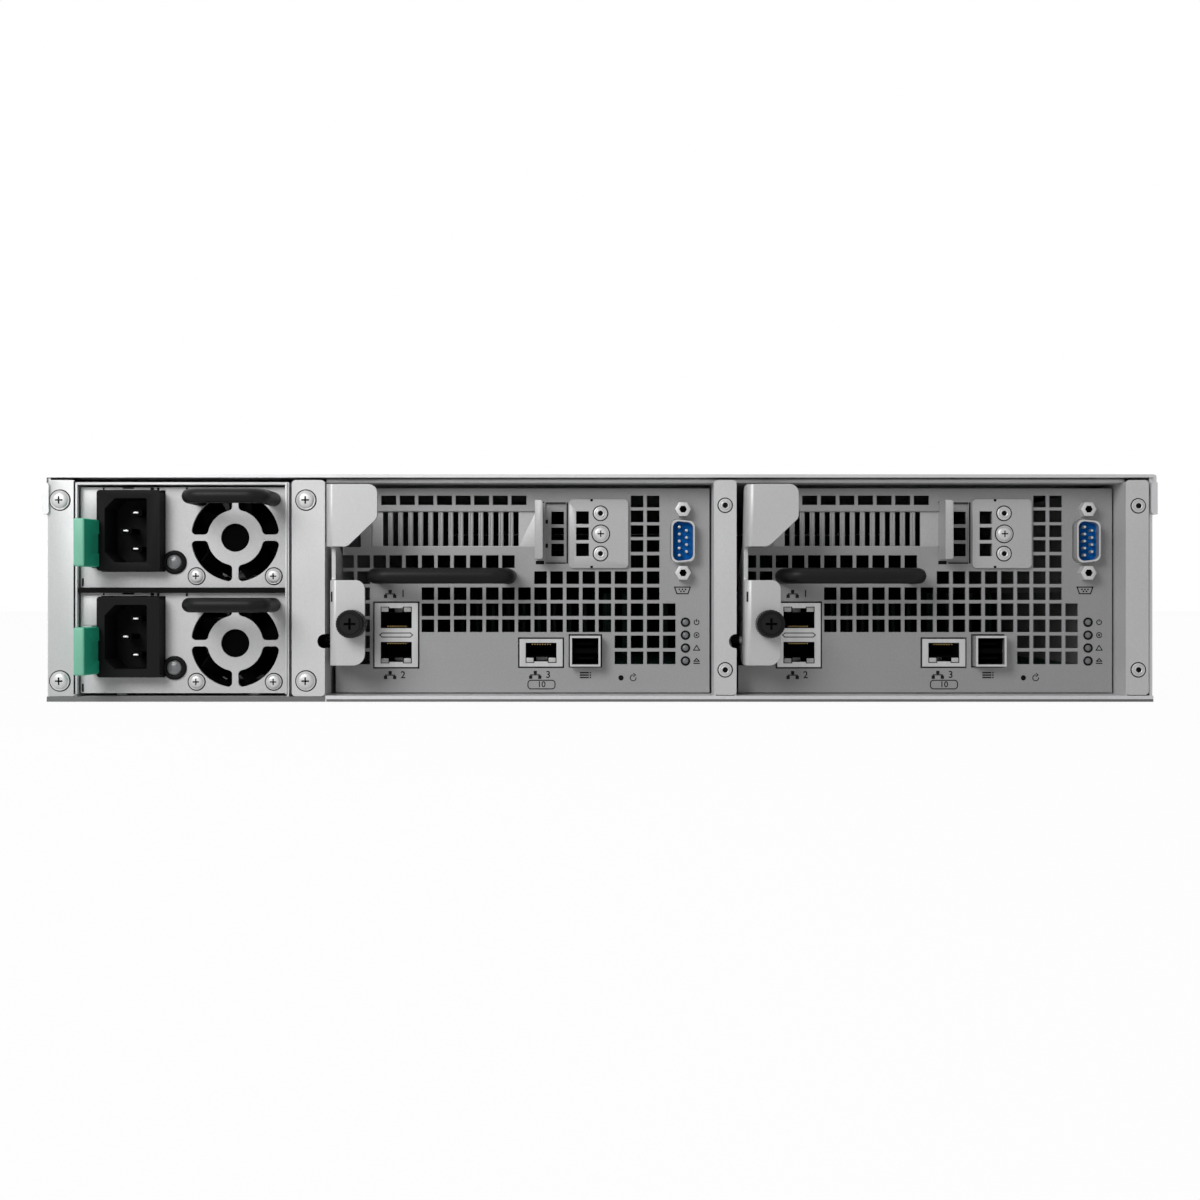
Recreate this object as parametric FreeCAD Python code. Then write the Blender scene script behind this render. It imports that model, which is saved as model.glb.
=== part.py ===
import FreeCAD, Part
import math
import os

# A two-unit rack storage array. X runs across the rear view, Y from the rear (ports) to the front (drives).
# Z is up. The origin is under the middle of the chassis. All values are millimetres.
V = FreeCAD.Vector

# Chassis shell
body_width = 428.0
body_depth = 692.0
body_height = 88.0
sheet = 1.2
light_sheet = 0.8
slide_gap = 0.3
cover_depth = 496.0
cover_flange_drop = 14.3
hook_width = 2.4
hook_drop = 2.0
hook_corner = 1.2
lid_edge_share = 0.9
corner_radius = 1.5

# Rail screw holes in the side walls
rail_hole_radius = 2.0
rail_hole_pitch = 440.0
rail_hole_count = 2
rail_hole_first = 46.0
rail_hole_height = 44.0

# Power supplies and their cage
psu_width = 80.0
psu_height = 39.0
psu_depth = 240.0
psu_side_gap = 0.75
psu_inset = 3.5
psu_pitch = 41.05
psu_bottom = 3.2
psu_face = 1.0
cage_side_gap = 10.5
cage_top_gap = 0.95
strip_bottom = 2.2
strip_top_gap = 2.2
strip_overlap = 0.6
runner_width = 4.0
runner_from_rear = 10.0
runner_places = (0.15, 0.8)
bracket_block_height = 8.0
bracket_block_length = 16.0
bracket_block_from_rear = 12.0
bracket_block_bottoms = (20.0, 62.0)
bracket_depth = 32.0
socket_block_margin = 3.0
socket_block_half_height = 4.0
power_board_gap = 3.0
power_board_thickness = 2.0
bus_bar_thickness = 3.0
bus_bar_bottom = 30.0
bus_bar_height = 25.0
bus_bar_places = (0.3, 0.6)

# Parts of a power supply, from its lower left corner
inlet_left = 8.4
inlet_bottom = 6.4
inlet_width = 24.3
inlet_height = 31.1
inlet_stand = 7.0
inlet_reach = 12.0
inlet_corner = 1.2
socket_wall = 3.1
socket_width = 16.2
socket_height = 24.7
socket_depth = 16.0
socket_corner = 4.0
socket_edge_radius = 0.8
blade_thickness = 2.0
blade_height = 4.0
blade_length = 11.0
blade_spread = 7.0
blade_step = 3.9
blade_from_right = 5.5
grille_x = 60.1
grille_z = 19.4
grille_outer = 17.2
grille_inner = 10.8
grille_core = 5.5
grille_spoke = 2.4
grille_corner = 1.6
small_fan_size = 36.6
small_fan_depth = 20.0
small_rotor_gap = 0.5
small_rotor_depth = 15.0
small_fan_clearance = 0.6
small_hub_radius = 8.0
small_blade_count = 5
psu_handle_left = 44.1
psu_handle_right = 77.8
psu_handle_height = 34.3
psu_handle_radius = 2.8
psu_handle_reach = 22.2
latch_left = 4.5
latch_thickness = 2.0
latch_bottom = 7.8
latch_height = 18.1
latch_corner = 1.2
latch_pad_width = 4.1
latch_pad_root_width = 5.4
latch_pad_gap = 0.8
latch_ear_gap = 1.5
latch_ear_sheet = 1.2
latch_ear_half_depth = 3.0
latch_reach = 22.2
latch_inside = 27.0
latch_pivot_inside = 22.0
latch_pin_radius = 1.2
latch_bore_radius = 1.5
latch_barrel_radius = 2.5
latch_swing_room = 1.6
tongue_width = 40.0
tongue_height = 1.6
tongue_reach = 7.0
tongue_inside = 30.0
end_slot_count = 6
end_slot_first = 5.0
end_slot_pitch = 5.2
end_slot_height = 2.4
end_slot_margin = 8.0
supply_board_margin = 3.0
supply_board_start = 32.0
supply_board_bottom = 4.0
supply_board_top = 5.6
supply_foot_margin = 20.0
supply_foot_start = 60.0
supply_sink = (8.0, 12.0, 50.0, 180.0, 34.0)
supply_choke = (30.0, 62.0, 90.0, 130.0, 33.0)
supply_bulk = (30.0, 56.0, 42.0, 82.0, 29.0)
supply_riser_width = 20.0
supply_riser_length = 10.0

# Controller bays
bracket_gap = 1.2
bracket_width = 12.8
bay_width = 150.5
divider_width = 8.7
bay_floor = 2.4
bay_top = 85.1
lip_thickness = 1.2
lip_inset = 4.0
lip_depth = 20.0
bay_wall_room = 14.0
toe_slot_bottom = 20.7
toe_slot_height = 5.5
toe_slot_depth = 2.9
toe_slot_length = 22.0
toe_slot_corner = 2.6

# Controllers, from their lower left corner
controller_left_gap = 1.9
controller_right_gap = 0.8
controller_bottom_gap = 0.4
controller_height = 80.7
controller_inset = 13.8
controller_room = 11.2
face_sheet = 1.0
tray_sheet = 1.0
tray_wall_height = 40.0
flange_depth = 9.0
panel_lap = 1.0
ear_step_height = 10.7
ear_step_width = 2.8
vent_size = 5.0
vent_pitch_x = 6.363
vent_pitch_z = 6.35
vent_origin_x = 33.94
vent_origin_top = 54.3
high_vent_top = 77.9
high_vent_pitch = 5.87
high_vent_height = 4.67
top_vent_x = 17.9
top_vent_pitch = 7.36
top_vent_width = 6.0
top_vent_height = 3.7
top_vent_count = 8
slot_open_left = 14.0
slot_open_right = 80.6
slot_open_bottom = 57.7
slot_open_top = 71.8
cover_lap = 1.5
cover_slot_first = 18.5
cover_slot_pitch = 3.98
cover_slot_width = 2.0
cover_slot_count = 14
cover_slot_margin = 0.3
lip_x = 79.2
lip_stand = 12.5
lip_root_out = 3.0
lip_web_lap = 2.0
lip_return = 3.1
lip_sheet = 1.0
lip_corner = 0.9
retainer_corner = 1.6
lip_bottom = 52.5
lip_top = 75.4
recess_left = 82.9
recess_right = 91.0
recess_bottom = 51.2
recess_top = 75.0
recess_vent_x = 85.2
side_vent_top = 71.6
side_vent_count = 3
retainer_left = 92.3
retainer_right = 115.7
retainer_bottom = 49.2
retainer_top = 76.4
retainer_thickness = 1.4
retainer_vent_x = 95.1
corner_open_left = 4.0
corner_open_right = 9.9
corner_open_bottom = 57.5
corner_open_top = 71.2
port_gap = 0.6
serial_gap = 0.36
port_stand = 0.4
port_depth = 16.0
port_wall = 1.5
port_cheek = 2.4
stack_left = 15.4
stack_width = 17.1
stack_bottom = 10.1
stack_height = 25.3
stack_bar = 5.4
jack_left = 72.7
jack_width = 17.0
jack_bottom = 10.3
jack_height = 10.9
key_width = 5.6
key_height = 2.2
key_lap = 0.5
sas_left = 92.7
sas_width = 12.0
sas_bottom = 10.5
sas_height = 12.0
sas_stand = 5.5
sas_wall = 0.8
sas_tongue = 1.0
sas_mouth_depth = 3.0
sas_back = 2.0
serial_x = 137.1
serial_z = 59.75
serial_length = 17.3
serial_width = 9.2
serial_taper = 0.9
serial_stand = 5.0
serial_wall = 0.6
serial_floor = 0.5
serial_corner = 2.4
serial_pin = 0.8
serial_pin_pitch = 2.77
serial_row_gap = 2.84
serial_flange_width = 12.5
serial_flange_length = 31.0
serial_body_depth = 11.0
pin_inset = 0.8
reset_x = 112.8
reset_z = 5.8
reset_radius = 1.05
handle_left = 14.5
handle_right = 71.5
handle_height = 45.9
handle_radius = 3.05
handle_reach = 19.1

# Ejector lever, thumbscrew and their pivot, from the controller's lower left corner and out from its face
lever_left = 0.9
lever_sheet = 1.6
lever_bend = 2.6
lever_pivot_out = 5.0
lever_pivot_z = 21.1
lever_stud_radius = 1.5
lever_stud_reach = 1.3
lever_hole_gap = 0.3
pivot_ear_half = 4.0
pivot_ear_corner = 3.0
upper_tab_out = 28.1
upper_tab_bottom = 56.8
upper_tab_top = 80.4
upper_tab_width = 19.5
upper_tab_slope = 11.4
upper_tab_slope_height = 10.8
lower_tab_out = 20.2
lower_tab_bottom = 11.5
lower_tab_top = 44.2
lower_tab_width = 13.6
lever_web_out = 14.7
lever_web_inside = 11.0
web_slope_start = 14.0
web_slope_end = 8.0
web_slope_rise = 2.0
web_back_rise = 4.0
web_back_height = 16.0
web_foot_inside = 3.0
web_foot_out = 6.0
web_outer_corner = 1.0
web_inner_corner = 2.0
web_slope_corner = 4.0
web_foot_corner = 5.0
web_bend_corner = 6.0
tab_corner = 3.5
screw_x = 10.0
screw_z = 27.5
knob_radius = 5.4
knob_height = 8.0
knob_gap = 0.3
shank_radius = 1.9
shank_gap = 0.5
post_radius = 2.4
post_height = 8.0
thread_allowance = 0.3
recess_arm = 2.6
recess_slot = 1.0
recess_depth = 2.2
knob_chamfer = 1.0

# Controller board
board_bottom_gap = 7.2
board_thickness = 1.6
board_side_gap = 1.2
board_front_gap = 3.0
post_block = 6.0
post_block_from_left = 20.0
post_block_from_right = 26.0
post_block_from_rear = 20.0
post_block_from_end = 30.0
plug_length = 12.0
fan_size = 60.0
fan_depth = 25.0
fan_from_rear = 110.0
fan_clearance = 0.8
fan_front_gap = 1.0
fan_rim = 1.6
hub_radius = 12.0
hub_gap = 0.4
blade_count = 7
blade_pitch = 38.0
fan_seat_share = 0.16
fan_arm_share = 0.12
hub_bite_share = 0.9
fan_arm_bite = 0.6
blade_thickness_fan = 1.0
sink_width = 62.0
sink_length = 74.0
sink_base = 5.0
sink_height = 27.0
fin_count = 9
fin_thickness = 1.6
sink_x = 36.0
sink_y = 150.0
module_length = 133.0
module_height = 30.0
module_thickness = 3.4
module_pitch = 9.5
module_count = 4
module_x = 106.0
module_y = 150.0

# Drive cage, trays and backplane
bezel_depth = 12.0
cage_depth = 163.0
column_count = 4
row_count = 3
backplane_thickness = 3.0
backplane_margin = 1.6
air_hole_from_centre = 16.3
air_hole_width = 30.5
air_hole_height = 13.6
drive_plug_from_centre = 36.6
drive_width = 101.6
drive_height = 26.1
drive_length = 147.0
drive_plug_width = 42.0
drive_plug_height = 6.0
plug_gap = 0.4
drive_plug_rise = 1.0
tray_gap = 0.35
rail_thickness = 1.2
rail_lip = 0.6
rail_lip_width = 4.0
bezel_gap = 0.3
bezel_wall = 1.6
grille_bar = 2.2
bezel_slot_width = 30.0
bezel_slot_count = 4
bezel_slot_pitch = 5.2
tray_lever_length = 62.0
tray_lever_height = 17.0
tray_lever_depth = 5.0
tray_lever_gap = 0.4
tray_lever_inset = 3.0
grip_chamfer = 1.0
controller_plug_height = 22.0
controller_plug_width = 90.0

# Rack ears, handles and the power button
ear_reach = 27.0
ear_sheet = 2.0
ear_leg = 46.0
ear_corner = 3.0
rack_hole_span = 465.1
rack_hole_rise = 76.2
rack_slot_length = 10.0
rack_slot_width = 6.8
pull_left = 5.0
pull_width = 8.0
pull_reach = 32.0
pull_bottom = 16.0
pull_bar = 8.0
pull_corner = 10.0
pod_left = 15.5
pod_width = 10.0
pod_bottom = 34.0
pod_height = 32.0
pod_depth = 10.0
button_radius = 3.2
button_gap = 0.3
button_from_top = 9.0
button_stand = 1.0
button_travel = 1.0
button_length = 7.0
button_chamfer = 0.5
pod_corner = 2.5
ear_leg_inset = 4.0

# Worked out places
rear = -body_depth / 2
front = body_depth / 2
half_width = body_width / 2
roof = body_height - sheet
inner_width = body_width - 2 * sheet
psu_y = rear + psu_inset
cage_left = -half_width + cage_side_gap
cage_inner_left = cage_left + light_sheet
psu_left = cage_inner_left + psu_side_gap
cage_inner_right = cage_inner_left + psu_width + 2 * psu_side_gap
cage_right = cage_inner_right + light_sheet
cage_top = psu_bottom + psu_pitch + psu_height + cage_top_gap
psu_end = psu_y + psu_depth
power_board_y = psu_end + tongue_reach + power_board_gap
bracket_left = cage_right + bracket_gap
bay_a_left = bracket_left + bracket_width
bay_a_right = bay_a_left + bay_width
bay_b_left = bay_a_right + divider_width
bay_b_right = bay_b_left + bay_width
strip_top = body_height - strip_top_gap
controller_y = rear + controller_inset
controller_bottom = bay_floor + controller_bottom_gap
controller_width = bay_width - controller_left_gap - controller_right_gap
controller_top = controller_bottom + controller_height
cage_front = front - bezel_depth
cage_back = cage_front - cage_depth
backplane_y = cage_back - backplane_thickness
bay_wall_end = backplane_y - bay_wall_room
controller_end = backplane_y - controller_room
column_width = (inner_width - (column_count + 1) * light_sheet) / column_count
column_pitch = column_width + light_sheet
row_height = (roof - sheet - (row_count + 1) * light_sheet) / row_count
row_pitch = row_height + light_sheet
board_bottom = controller_bottom + tray_sheet + board_bottom_gap
board_top = board_bottom + board_thickness
tongue_z = psu_height / 2


def box(x0, x1, y0, y1, z0, z1):
    """A block between two corners."""
    return Part.makeBox(x1 - x0, y1 - y0, z1 - z0, V(x0, y0, z0))


def rod(radius, start, direction, length):
    """A round bar from a start point along a direction."""
    return Part.makeCylinder(radius, length, V(*start), V(*direction))


def joined(shapes):
    """One solid from pieces that meet or overlap."""
    return shapes[0].fuse(shapes[1:]).removeSplitter()


def rounded_wire(points, radii):
    """A closed outline through flat points, with each corner rounded by its own radius."""
    count = len(points)
    corners = []
    for i in range(count):
        here = points[i]
        back = (points[i - 1] - here).normalize()
        ahead = (points[(i + 1) % count] - here).normalize()
        if radii[i] == 0:
            corners.append((here, None, here))
            continue
        half = back.getAngle(ahead) / 2
        reach = radii[i] / math.tan(half)
        middle = here + (back + ahead).normalize() * (radii[i] / math.sin(half) - radii[i])
        corners.append((here + back * reach, middle, here + ahead * reach))
    edges = []
    for i in range(count):
        start, middle, end = corners[i]
        following = corners[(i + 1) % count][0]
        if middle is not None:
            edges.append(Part.Arc(start, middle, end).toShape())
        if (following - end).Length > 1e-6:
            edges.append(Part.LineSegment(end, following).toShape())
    return Part.Wire(edges)


def plate_y(points, y0, y1, radius=0.0):
    """A plate drawn in X and Z and made thick along Y. The radius is one value or one for each corner."""
    radii = radius if isinstance(radius, list) else [radius] * len(points)
    wire = rounded_wire([V(x, y0, z) for x, z in points], radii)
    return Part.Face(wire).extrude(V(0, y1 - y0, 0))


def plate_x(points, x0, x1, radius=0.0):
    """A plate drawn in Y and Z and made thick along X."""
    radii = radius if isinstance(radius, list) else [radius] * len(points)
    wire = rounded_wire([V(x0, y, z) for y, z in points], radii)
    return Part.Face(wire).extrude(V(x1 - x0, 0, 0))


def plate_z(points, z0, z1, radius=0.0):
    """A plate drawn in X and Y and made thick along Z."""
    radii = radius if isinstance(radius, list) else [radius] * len(points)
    wire = rounded_wire([V(x, y, z0) for x, y in points], radii)
    return Part.Face(wire).extrude(V(0, 0, z1 - z0))


def rectangle(left, right, bottom, top):
    """Corner points of an upright rectangle."""
    return [(left, bottom), (right, bottom), (right, top), (left, top)]


def square_ring(x, z, width, height, y):
    """A closed rectangular outline in X and Z, for a hole in a flat sheet."""
    corners = rectangle(x, x + width, z, z + height)
    return Part.makePolygon([V(a, y, b) for a, b in corners + corners[:1]])


def pierced_plate(outline, holes, y0, y1):
    """A flat sheet in X and Z with any number of inner holes."""
    face = Part.makeFace([outline] + holes, "Part::FaceMakerBullseye")
    return face.extrude(V(0, y1 - y0, 0))


def wanted_edges(shape, wanted):
    """The edges whose middle point passes the test."""
    edges = []
    for edge in shape.Edges:
        middle = edge.valueAt((edge.FirstParameter + edge.LastParameter) / 2)
        if wanted(middle):
            edges.append(edge)
    return edges


def pull_handle(left, right, y, z, radius, reach):
    """A round bar handle standing out from a face at y: a circle swept along two legs and the bar."""
    low = left + radius
    high = right - radius
    bar_y = y - reach
    path = Part.makePolygon([V(low, y, z), V(low, bar_y, z), V(high, bar_y, z), V(high, y, z)])
    circle = Part.Wire(Part.makeCircle(radius, V(low, y, z), V(0, -1, 0)))
    return path.makePipeShell([circle], True, False, 1)


def fan_frame(x, y, z, size, depth, bore, hub):
    """A square axial fan frame with a motor seat on three arms at its far end."""
    half = size / 2
    frame = box(x - half, x + half, y, y + depth, z - half, z + half)
    frame = frame.cut(rod(bore, (x, y - 1, z), (0, 1, 0), depth + 2))
    seat_depth = depth * fan_seat_share
    seat = rod(hub, (x, y + depth - seat_depth, z), (0, 1, 0), seat_depth)
    arms = []
    for turn in (90, 210, 330):
        arm = box(-hub * fan_arm_share, hub * fan_arm_share, 0, seat_depth,
                  hub * hub_bite_share, bore + fan_arm_bite)
        arm.rotate(V(0, 0, 0), V(0, 1, 0), turn)
        arm.translate(V(x, y + depth - seat_depth, z))
        arms.append(arm)
    return joined([frame, seat] + arms)


def fan_rotor(x, y, z, radius, hub, depth, blades):
    """A hub with pitched blades, turning about Y."""
    pitch = math.radians(blade_pitch)
    chord = (depth - blade_thickness_fan * math.sin(pitch)) / math.cos(pitch)
    tip = math.sqrt(radius ** 2 - (chord * math.sin(pitch) / 2 + blade_thickness_fan) ** 2)
    pieces = [rod(hub, (x, y, z), (0, 1, 0), depth)]
    for i in range(blades):
        half = blade_thickness_fan / 2
        blade = box(-half, half, -chord / 2, chord / 2, hub * hub_bite_share, tip)
        blade.rotate(V(0, 0, 0), V(0, 0, 1), blade_pitch)
        blade.rotate(V(0, 0, 0), V(0, 1, 0), i * 360.0 / blades)
        blade.translate(V(x, y + depth / 2, z))
        pieces.append(blade)
    return joined(pieces)


def chassis_base():
    """Floor, side walls, fixed front roof, controller bay floor and the tabs that take the strip screws."""
    wall_start = rear + sheet
    roof_start = rear + cover_depth + slide_gap
    pieces = [
        box(-half_width, half_width, rear, front, 0, sheet),
        box(-half_width, -half_width + sheet, wall_start, front, 0, roof),
        box(half_width - sheet, half_width, wall_start, front, 0, roof),
        box(-half_width, half_width, roof_start, front, roof, body_height),
        box(bay_a_left, half_width, rear, backplane_y - backplane_margin, 0, bay_floor),
        box(-half_width, cage_left - slide_gap, wall_start, wall_start + sheet, 0, strip_top),
        box(bracket_left + light_sheet + slide_gap, bay_a_left - light_sheet - toe_slot_depth,
            wall_start, wall_start + sheet, 0, strip_top - sheet),
    ]
    shell = joined(pieces)
    holes = []
    for side in (-1, 1):
        for i in range(rail_hole_count):
            y = rear + rail_hole_first + i * rail_hole_pitch
            start = (side * (half_width - 2 * sheet), y, rail_hole_height)
            holes.append(rod(rail_hole_radius, start, (side, 0, 0), 3 * sheet))
    return shell.cut(holes)


def top_cover():
    """Removable lid with flanges outside the walls and hooks folded over the rear edge."""
    outer = half_width + sheet
    end = rear + cover_depth
    bottom = roof - cover_flange_drop
    pieces = [box(-outer, outer, rear, end, roof, body_height)]
    for side in (-1, 1):
        wall = sorted((side * half_width, side * outer))
        hook = sorted((side * (outer - hook_width), side * outer))
        pieces.append(box(wall[0], wall[1], rear - sheet, end, bottom, roof - hook_drop))
        pieces.append(box(wall[0], wall[1], rear, end, roof - hook_drop, roof))
        round_left = hook_corner if side > 0 else 0
        round_right = hook_corner - round_left
        pieces.append(plate_y(rectangle(hook[0], hook[1], bottom, roof - hook_drop), rear - sheet, rear,
                              [round_left, round_right, round_right, round_left]))
    lid = joined(pieces)
    return lid.makeFillet(sheet * lid_edge_share, wanted_edges(
        lid, lambda p: abs(abs(p.x) - outer) < 0.01 and p.z > body_height - 0.01))


def flange_strip(left, right, bottom, notch):
    """A rear strip with rounded corners, and where wanted the side notch that lets the lever stud in."""
    points = rectangle(left, right, bottom, strip_top)
    strip = plate_y(points, rear, rear + sheet, corner_radius)
    if notch:
        outline = rectangle(right - toe_slot_depth, right + toe_slot_corner, toe_slot_bottom,
                            toe_slot_bottom + toe_slot_height)
        cut = plate_y(outline, rear - 1, rear + sheet + 1, toe_slot_corner)
        strip = strip.cut(cut)
    return strip


def bay_wall(left, notch):
    """A thin guide wall along a controller bay, with a slot behind the strip's notch."""
    wall = box(left, left + light_sheet, rear + sheet / 2, bay_wall_end, bay_floor, bay_top)
    if notch:
        wall = wall.cut(box(left - 1, left + light_sheet + 1, rear - 1, rear + toe_slot_length,
                            toe_slot_bottom, toe_slot_bottom + toe_slot_height))
    return wall


def psu_cage():
    """Two-storey sheet cage with the left strip, the bracket and bay A's left wall."""
    end = power_board_y
    start = rear + sheet / 2
    floor_top = sheet + light_sheet
    shelf_top = psu_bottom + psu_pitch - slide_gap
    bracket_right = bracket_left + light_sheet
    pieces = [
        box(cage_left, cage_inner_left, start, end, sheet, cage_top + light_sheet),
        box(cage_inner_right, cage_right, start, end, sheet, cage_top + light_sheet),
        box(cage_left, cage_right, start, end, sheet, floor_top),
        box(cage_left, cage_right, start, end, cage_top, cage_top + light_sheet),
        box(cage_inner_left, cage_inner_right, start, end, shelf_top - light_sheet, shelf_top),
    ]
    for place in runner_places:
        x = psu_left + psu_width * place
        pieces.append(box(x, x + runner_width, start + runner_from_rear, end,
                          floor_top, psu_bottom - slide_gap))
    block_start = rear + bracket_block_from_rear
    for z in bracket_block_bottoms:
        pieces.append(box(cage_right - light_sheet / 2, bracket_right, block_start,
                          block_start + bracket_block_length, z, z + bracket_block_height))
    pieces.append(box(bracket_left, bracket_right, start, rear + bracket_depth,
                      strip_bottom + corner_radius, strip_top - corner_radius))
    pieces.append(flange_strip(-half_width + strip_overlap, cage_inner_left, strip_bottom, False))
    pieces.append(flange_strip(bracket_left, bay_a_left, strip_bottom, True))
    cage = joined(pieces)
    return joined([cage, bay_wall(bay_a_left - light_sheet, True)])


def bay_frame():
    """Divider channel, right channel and the lip that ties them together above the bays."""
    right_edge = half_width - sheet - strip_overlap
    pieces = [
        flange_strip(bay_a_right, bay_b_left, bay_floor + slide_gap, True),
        flange_strip(bay_b_right, right_edge, bay_floor + slide_gap, False),
        bay_wall(bay_a_right, False),
        bay_wall(bay_b_left - light_sheet, True),
        bay_wall(bay_b_right, False),
        box(bay_a_left, bay_b_right + light_sheet, rear + lip_inset, rear + lip_inset + lip_depth,
            bay_top, bay_top + lip_thickness),
    ]
    return joined(pieces)


def column_centre(column):
    return -half_width + sheet + light_sheet + column_width / 2 + column * column_pitch


def row_bottom(row):
    return sheet + light_sheet + row * row_pitch


def drive_cage():
    """Egg-crate of thin walls that guides the trays."""
    crate = box(-inner_width / 2, inner_width / 2, cage_back, cage_front, sheet, roof)
    cells = []
    for column in range(column_count):
        left = column_centre(column) - column_width / 2
        for row in range(row_count):
            low = row_bottom(row)
            cells.append(box(left, left + column_width, cage_back - 1, cage_front + 1, low, low + row_height))
    return crate.cut(cells)


def backplane():
    """Board across the cage with drive plugs in front, controller plugs behind and air holes between."""
    side = inner_width / 2 - backplane_margin
    low_edge = sheet + backplane_margin
    outline = square_ring(-side, low_edge, 2 * side, roof - backplane_margin - low_edge, backplane_y)
    holes = []
    plugs = []
    plug_end = cage_front - drive_length - plug_gap
    for column in range(column_count):
        middle = column_centre(column)
        for row in range(row_count):
            low = row_bottom(row)
            hole_bottom = low + (row_height - air_hole_height) / 2
            holes.append(square_ring(middle + air_hole_from_centre, hole_bottom,
                                     air_hole_width, air_hole_height, backplane_y))
            x = middle - drive_plug_from_centre
            z = low + tray_gap + rail_lip + drive_plug_rise
            plugs.append(box(x, x + drive_plug_width, backplane_y + backplane_thickness / 2, plug_end,
                             z, z + drive_plug_height))
    board = pierced_plate(outline, holes, backplane_y, backplane_y + backplane_thickness)
    for left in (bay_a_left, bay_b_left):
        x = left + controller_left_gap + (controller_width - controller_plug_width) / 2
        plugs.append(box(x, x + controller_plug_width, controller_end + plug_gap, backplane_y + 1,
                         board_top, board_top + controller_plug_height))
    return joined([board] + plugs)


def power_board():
    """Board behind the power supplies with their sockets, and the bus bars that run on to the backplane."""
    board_end = power_board_y + power_board_thickness
    board = box(cage_left, cage_right, power_board_y, board_end, sheet, cage_top)
    sockets = []
    middle = psu_left + psu_width / 2
    half = tongue_width / 2
    block_half = half + socket_block_margin
    for level in (0, 1):
        z = psu_bottom + level * psu_pitch + tongue_z
        top = z + tongue_height
        block = box(middle - block_half, middle + block_half, psu_end + plug_gap, power_board_y,
                    z - socket_block_half_height, top + socket_block_half_height)
        slot = box(middle - half - plug_gap, middle + half + plug_gap, psu_end - 1,
                   psu_end + tongue_reach + plug_gap, z - plug_gap, top + plug_gap)
        sockets.append(block.cut(slot))
    plate = joined([board] + sockets)
    bars = []
    for place in bus_bar_places:
        x = cage_left + psu_width * place
        bars.append(box(x, x + bus_bar_thickness, board_end, backplane_y,
                        bus_bar_bottom, bus_bar_bottom + bus_bar_height))
    return Part.makeCompound([plate] + bars)


def ear_plate(side):
    """Front flange with two rack slots and a leg along the chassis side."""
    inner = half_width
    outer = half_width + ear_reach
    flange = box(inner, outer, front - ear_sheet, front, 0, body_height)
    flange = flange.makeFillet(ear_corner, wanted_edges(
        flange, lambda p: p.x > outer - 0.01 and abs(p.z - body_height / 2) > body_height / 2 - 0.01))
    leg = box(inner, inner + ear_sheet, front - ear_leg, front, ear_leg_inset, body_height - ear_leg_inset)
    slots = []
    for rise in (-1, 1):
        z = body_height / 2 + rise * rack_hole_rise / 2
        x = rack_hole_span / 2
        points = rectangle(x - rack_slot_length / 2, x + rack_slot_length / 2, z - rack_slot_width / 2,
                           z + rack_slot_width / 2)
        slots.append(plate_y(points, front - ear_sheet - 1, front + 1, rack_slot_width / 2 - 0.001))
    ear = joined([flange, leg]).cut(slots)
    return ear if side > 0 else ear.mirror(V(0, 0, 0), V(1, 0, 0))


def pull(side):
    """Moulded pull handle on an ear, open from side to side for the fingers."""
    start = half_width + pull_left
    top = body_height - pull_bottom
    tip = front + pull_reach
    outer = [(front, pull_bottom), (tip, pull_bottom), (tip, top), (front, top)]
    inner = [(front - 1, pull_bottom + pull_bar), (tip - pull_bar, pull_bottom + pull_bar),
             (tip - pull_bar, top - pull_bar), (front - 1, top - pull_bar)]
    grip = plate_x(outer, start, start + pull_width, [0, pull_corner, pull_corner, 0])
    grip = grip.cut(plate_x(inner, start - 1, start + pull_width + 1, [0, pull_corner / 2, pull_corner / 2, 0]))
    return grip if side > 0 else grip.mirror(V(0, 0, 0), V(1, 0, 0))


def button_place():
    return half_width + pod_left + pod_width / 2, pod_bottom + pod_height - button_from_top


def rack_ear_right():
    """Ear with its pull handle and the small pod that holds the power button."""
    left = half_width + pod_left
    outline = rectangle(left, left + pod_width, pod_bottom, pod_bottom + pod_height)
    pod = plate_y(outline, front, front + pod_depth, pod_corner)
    x, z = button_place()
    depth = button_length - button_stand + button_travel + button_gap
    pod = pod.cut(rod(button_radius + button_gap, (x, front + pod_depth - depth, z), (0, 1, 0), depth + 1))
    return joined([ear_plate(1), pull(1), pod])


def power_button():
    """Short round plunger with a rounded face."""
    x, z = button_place()
    start = front + pod_depth + button_stand - button_length
    knob = rod(button_radius, (x, start, z), (0, 1, 0), button_length)
    return knob.makeChamfer(button_chamfer, wanted_edges(knob, lambda p: p.y > start + button_length - 0.01))


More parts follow.
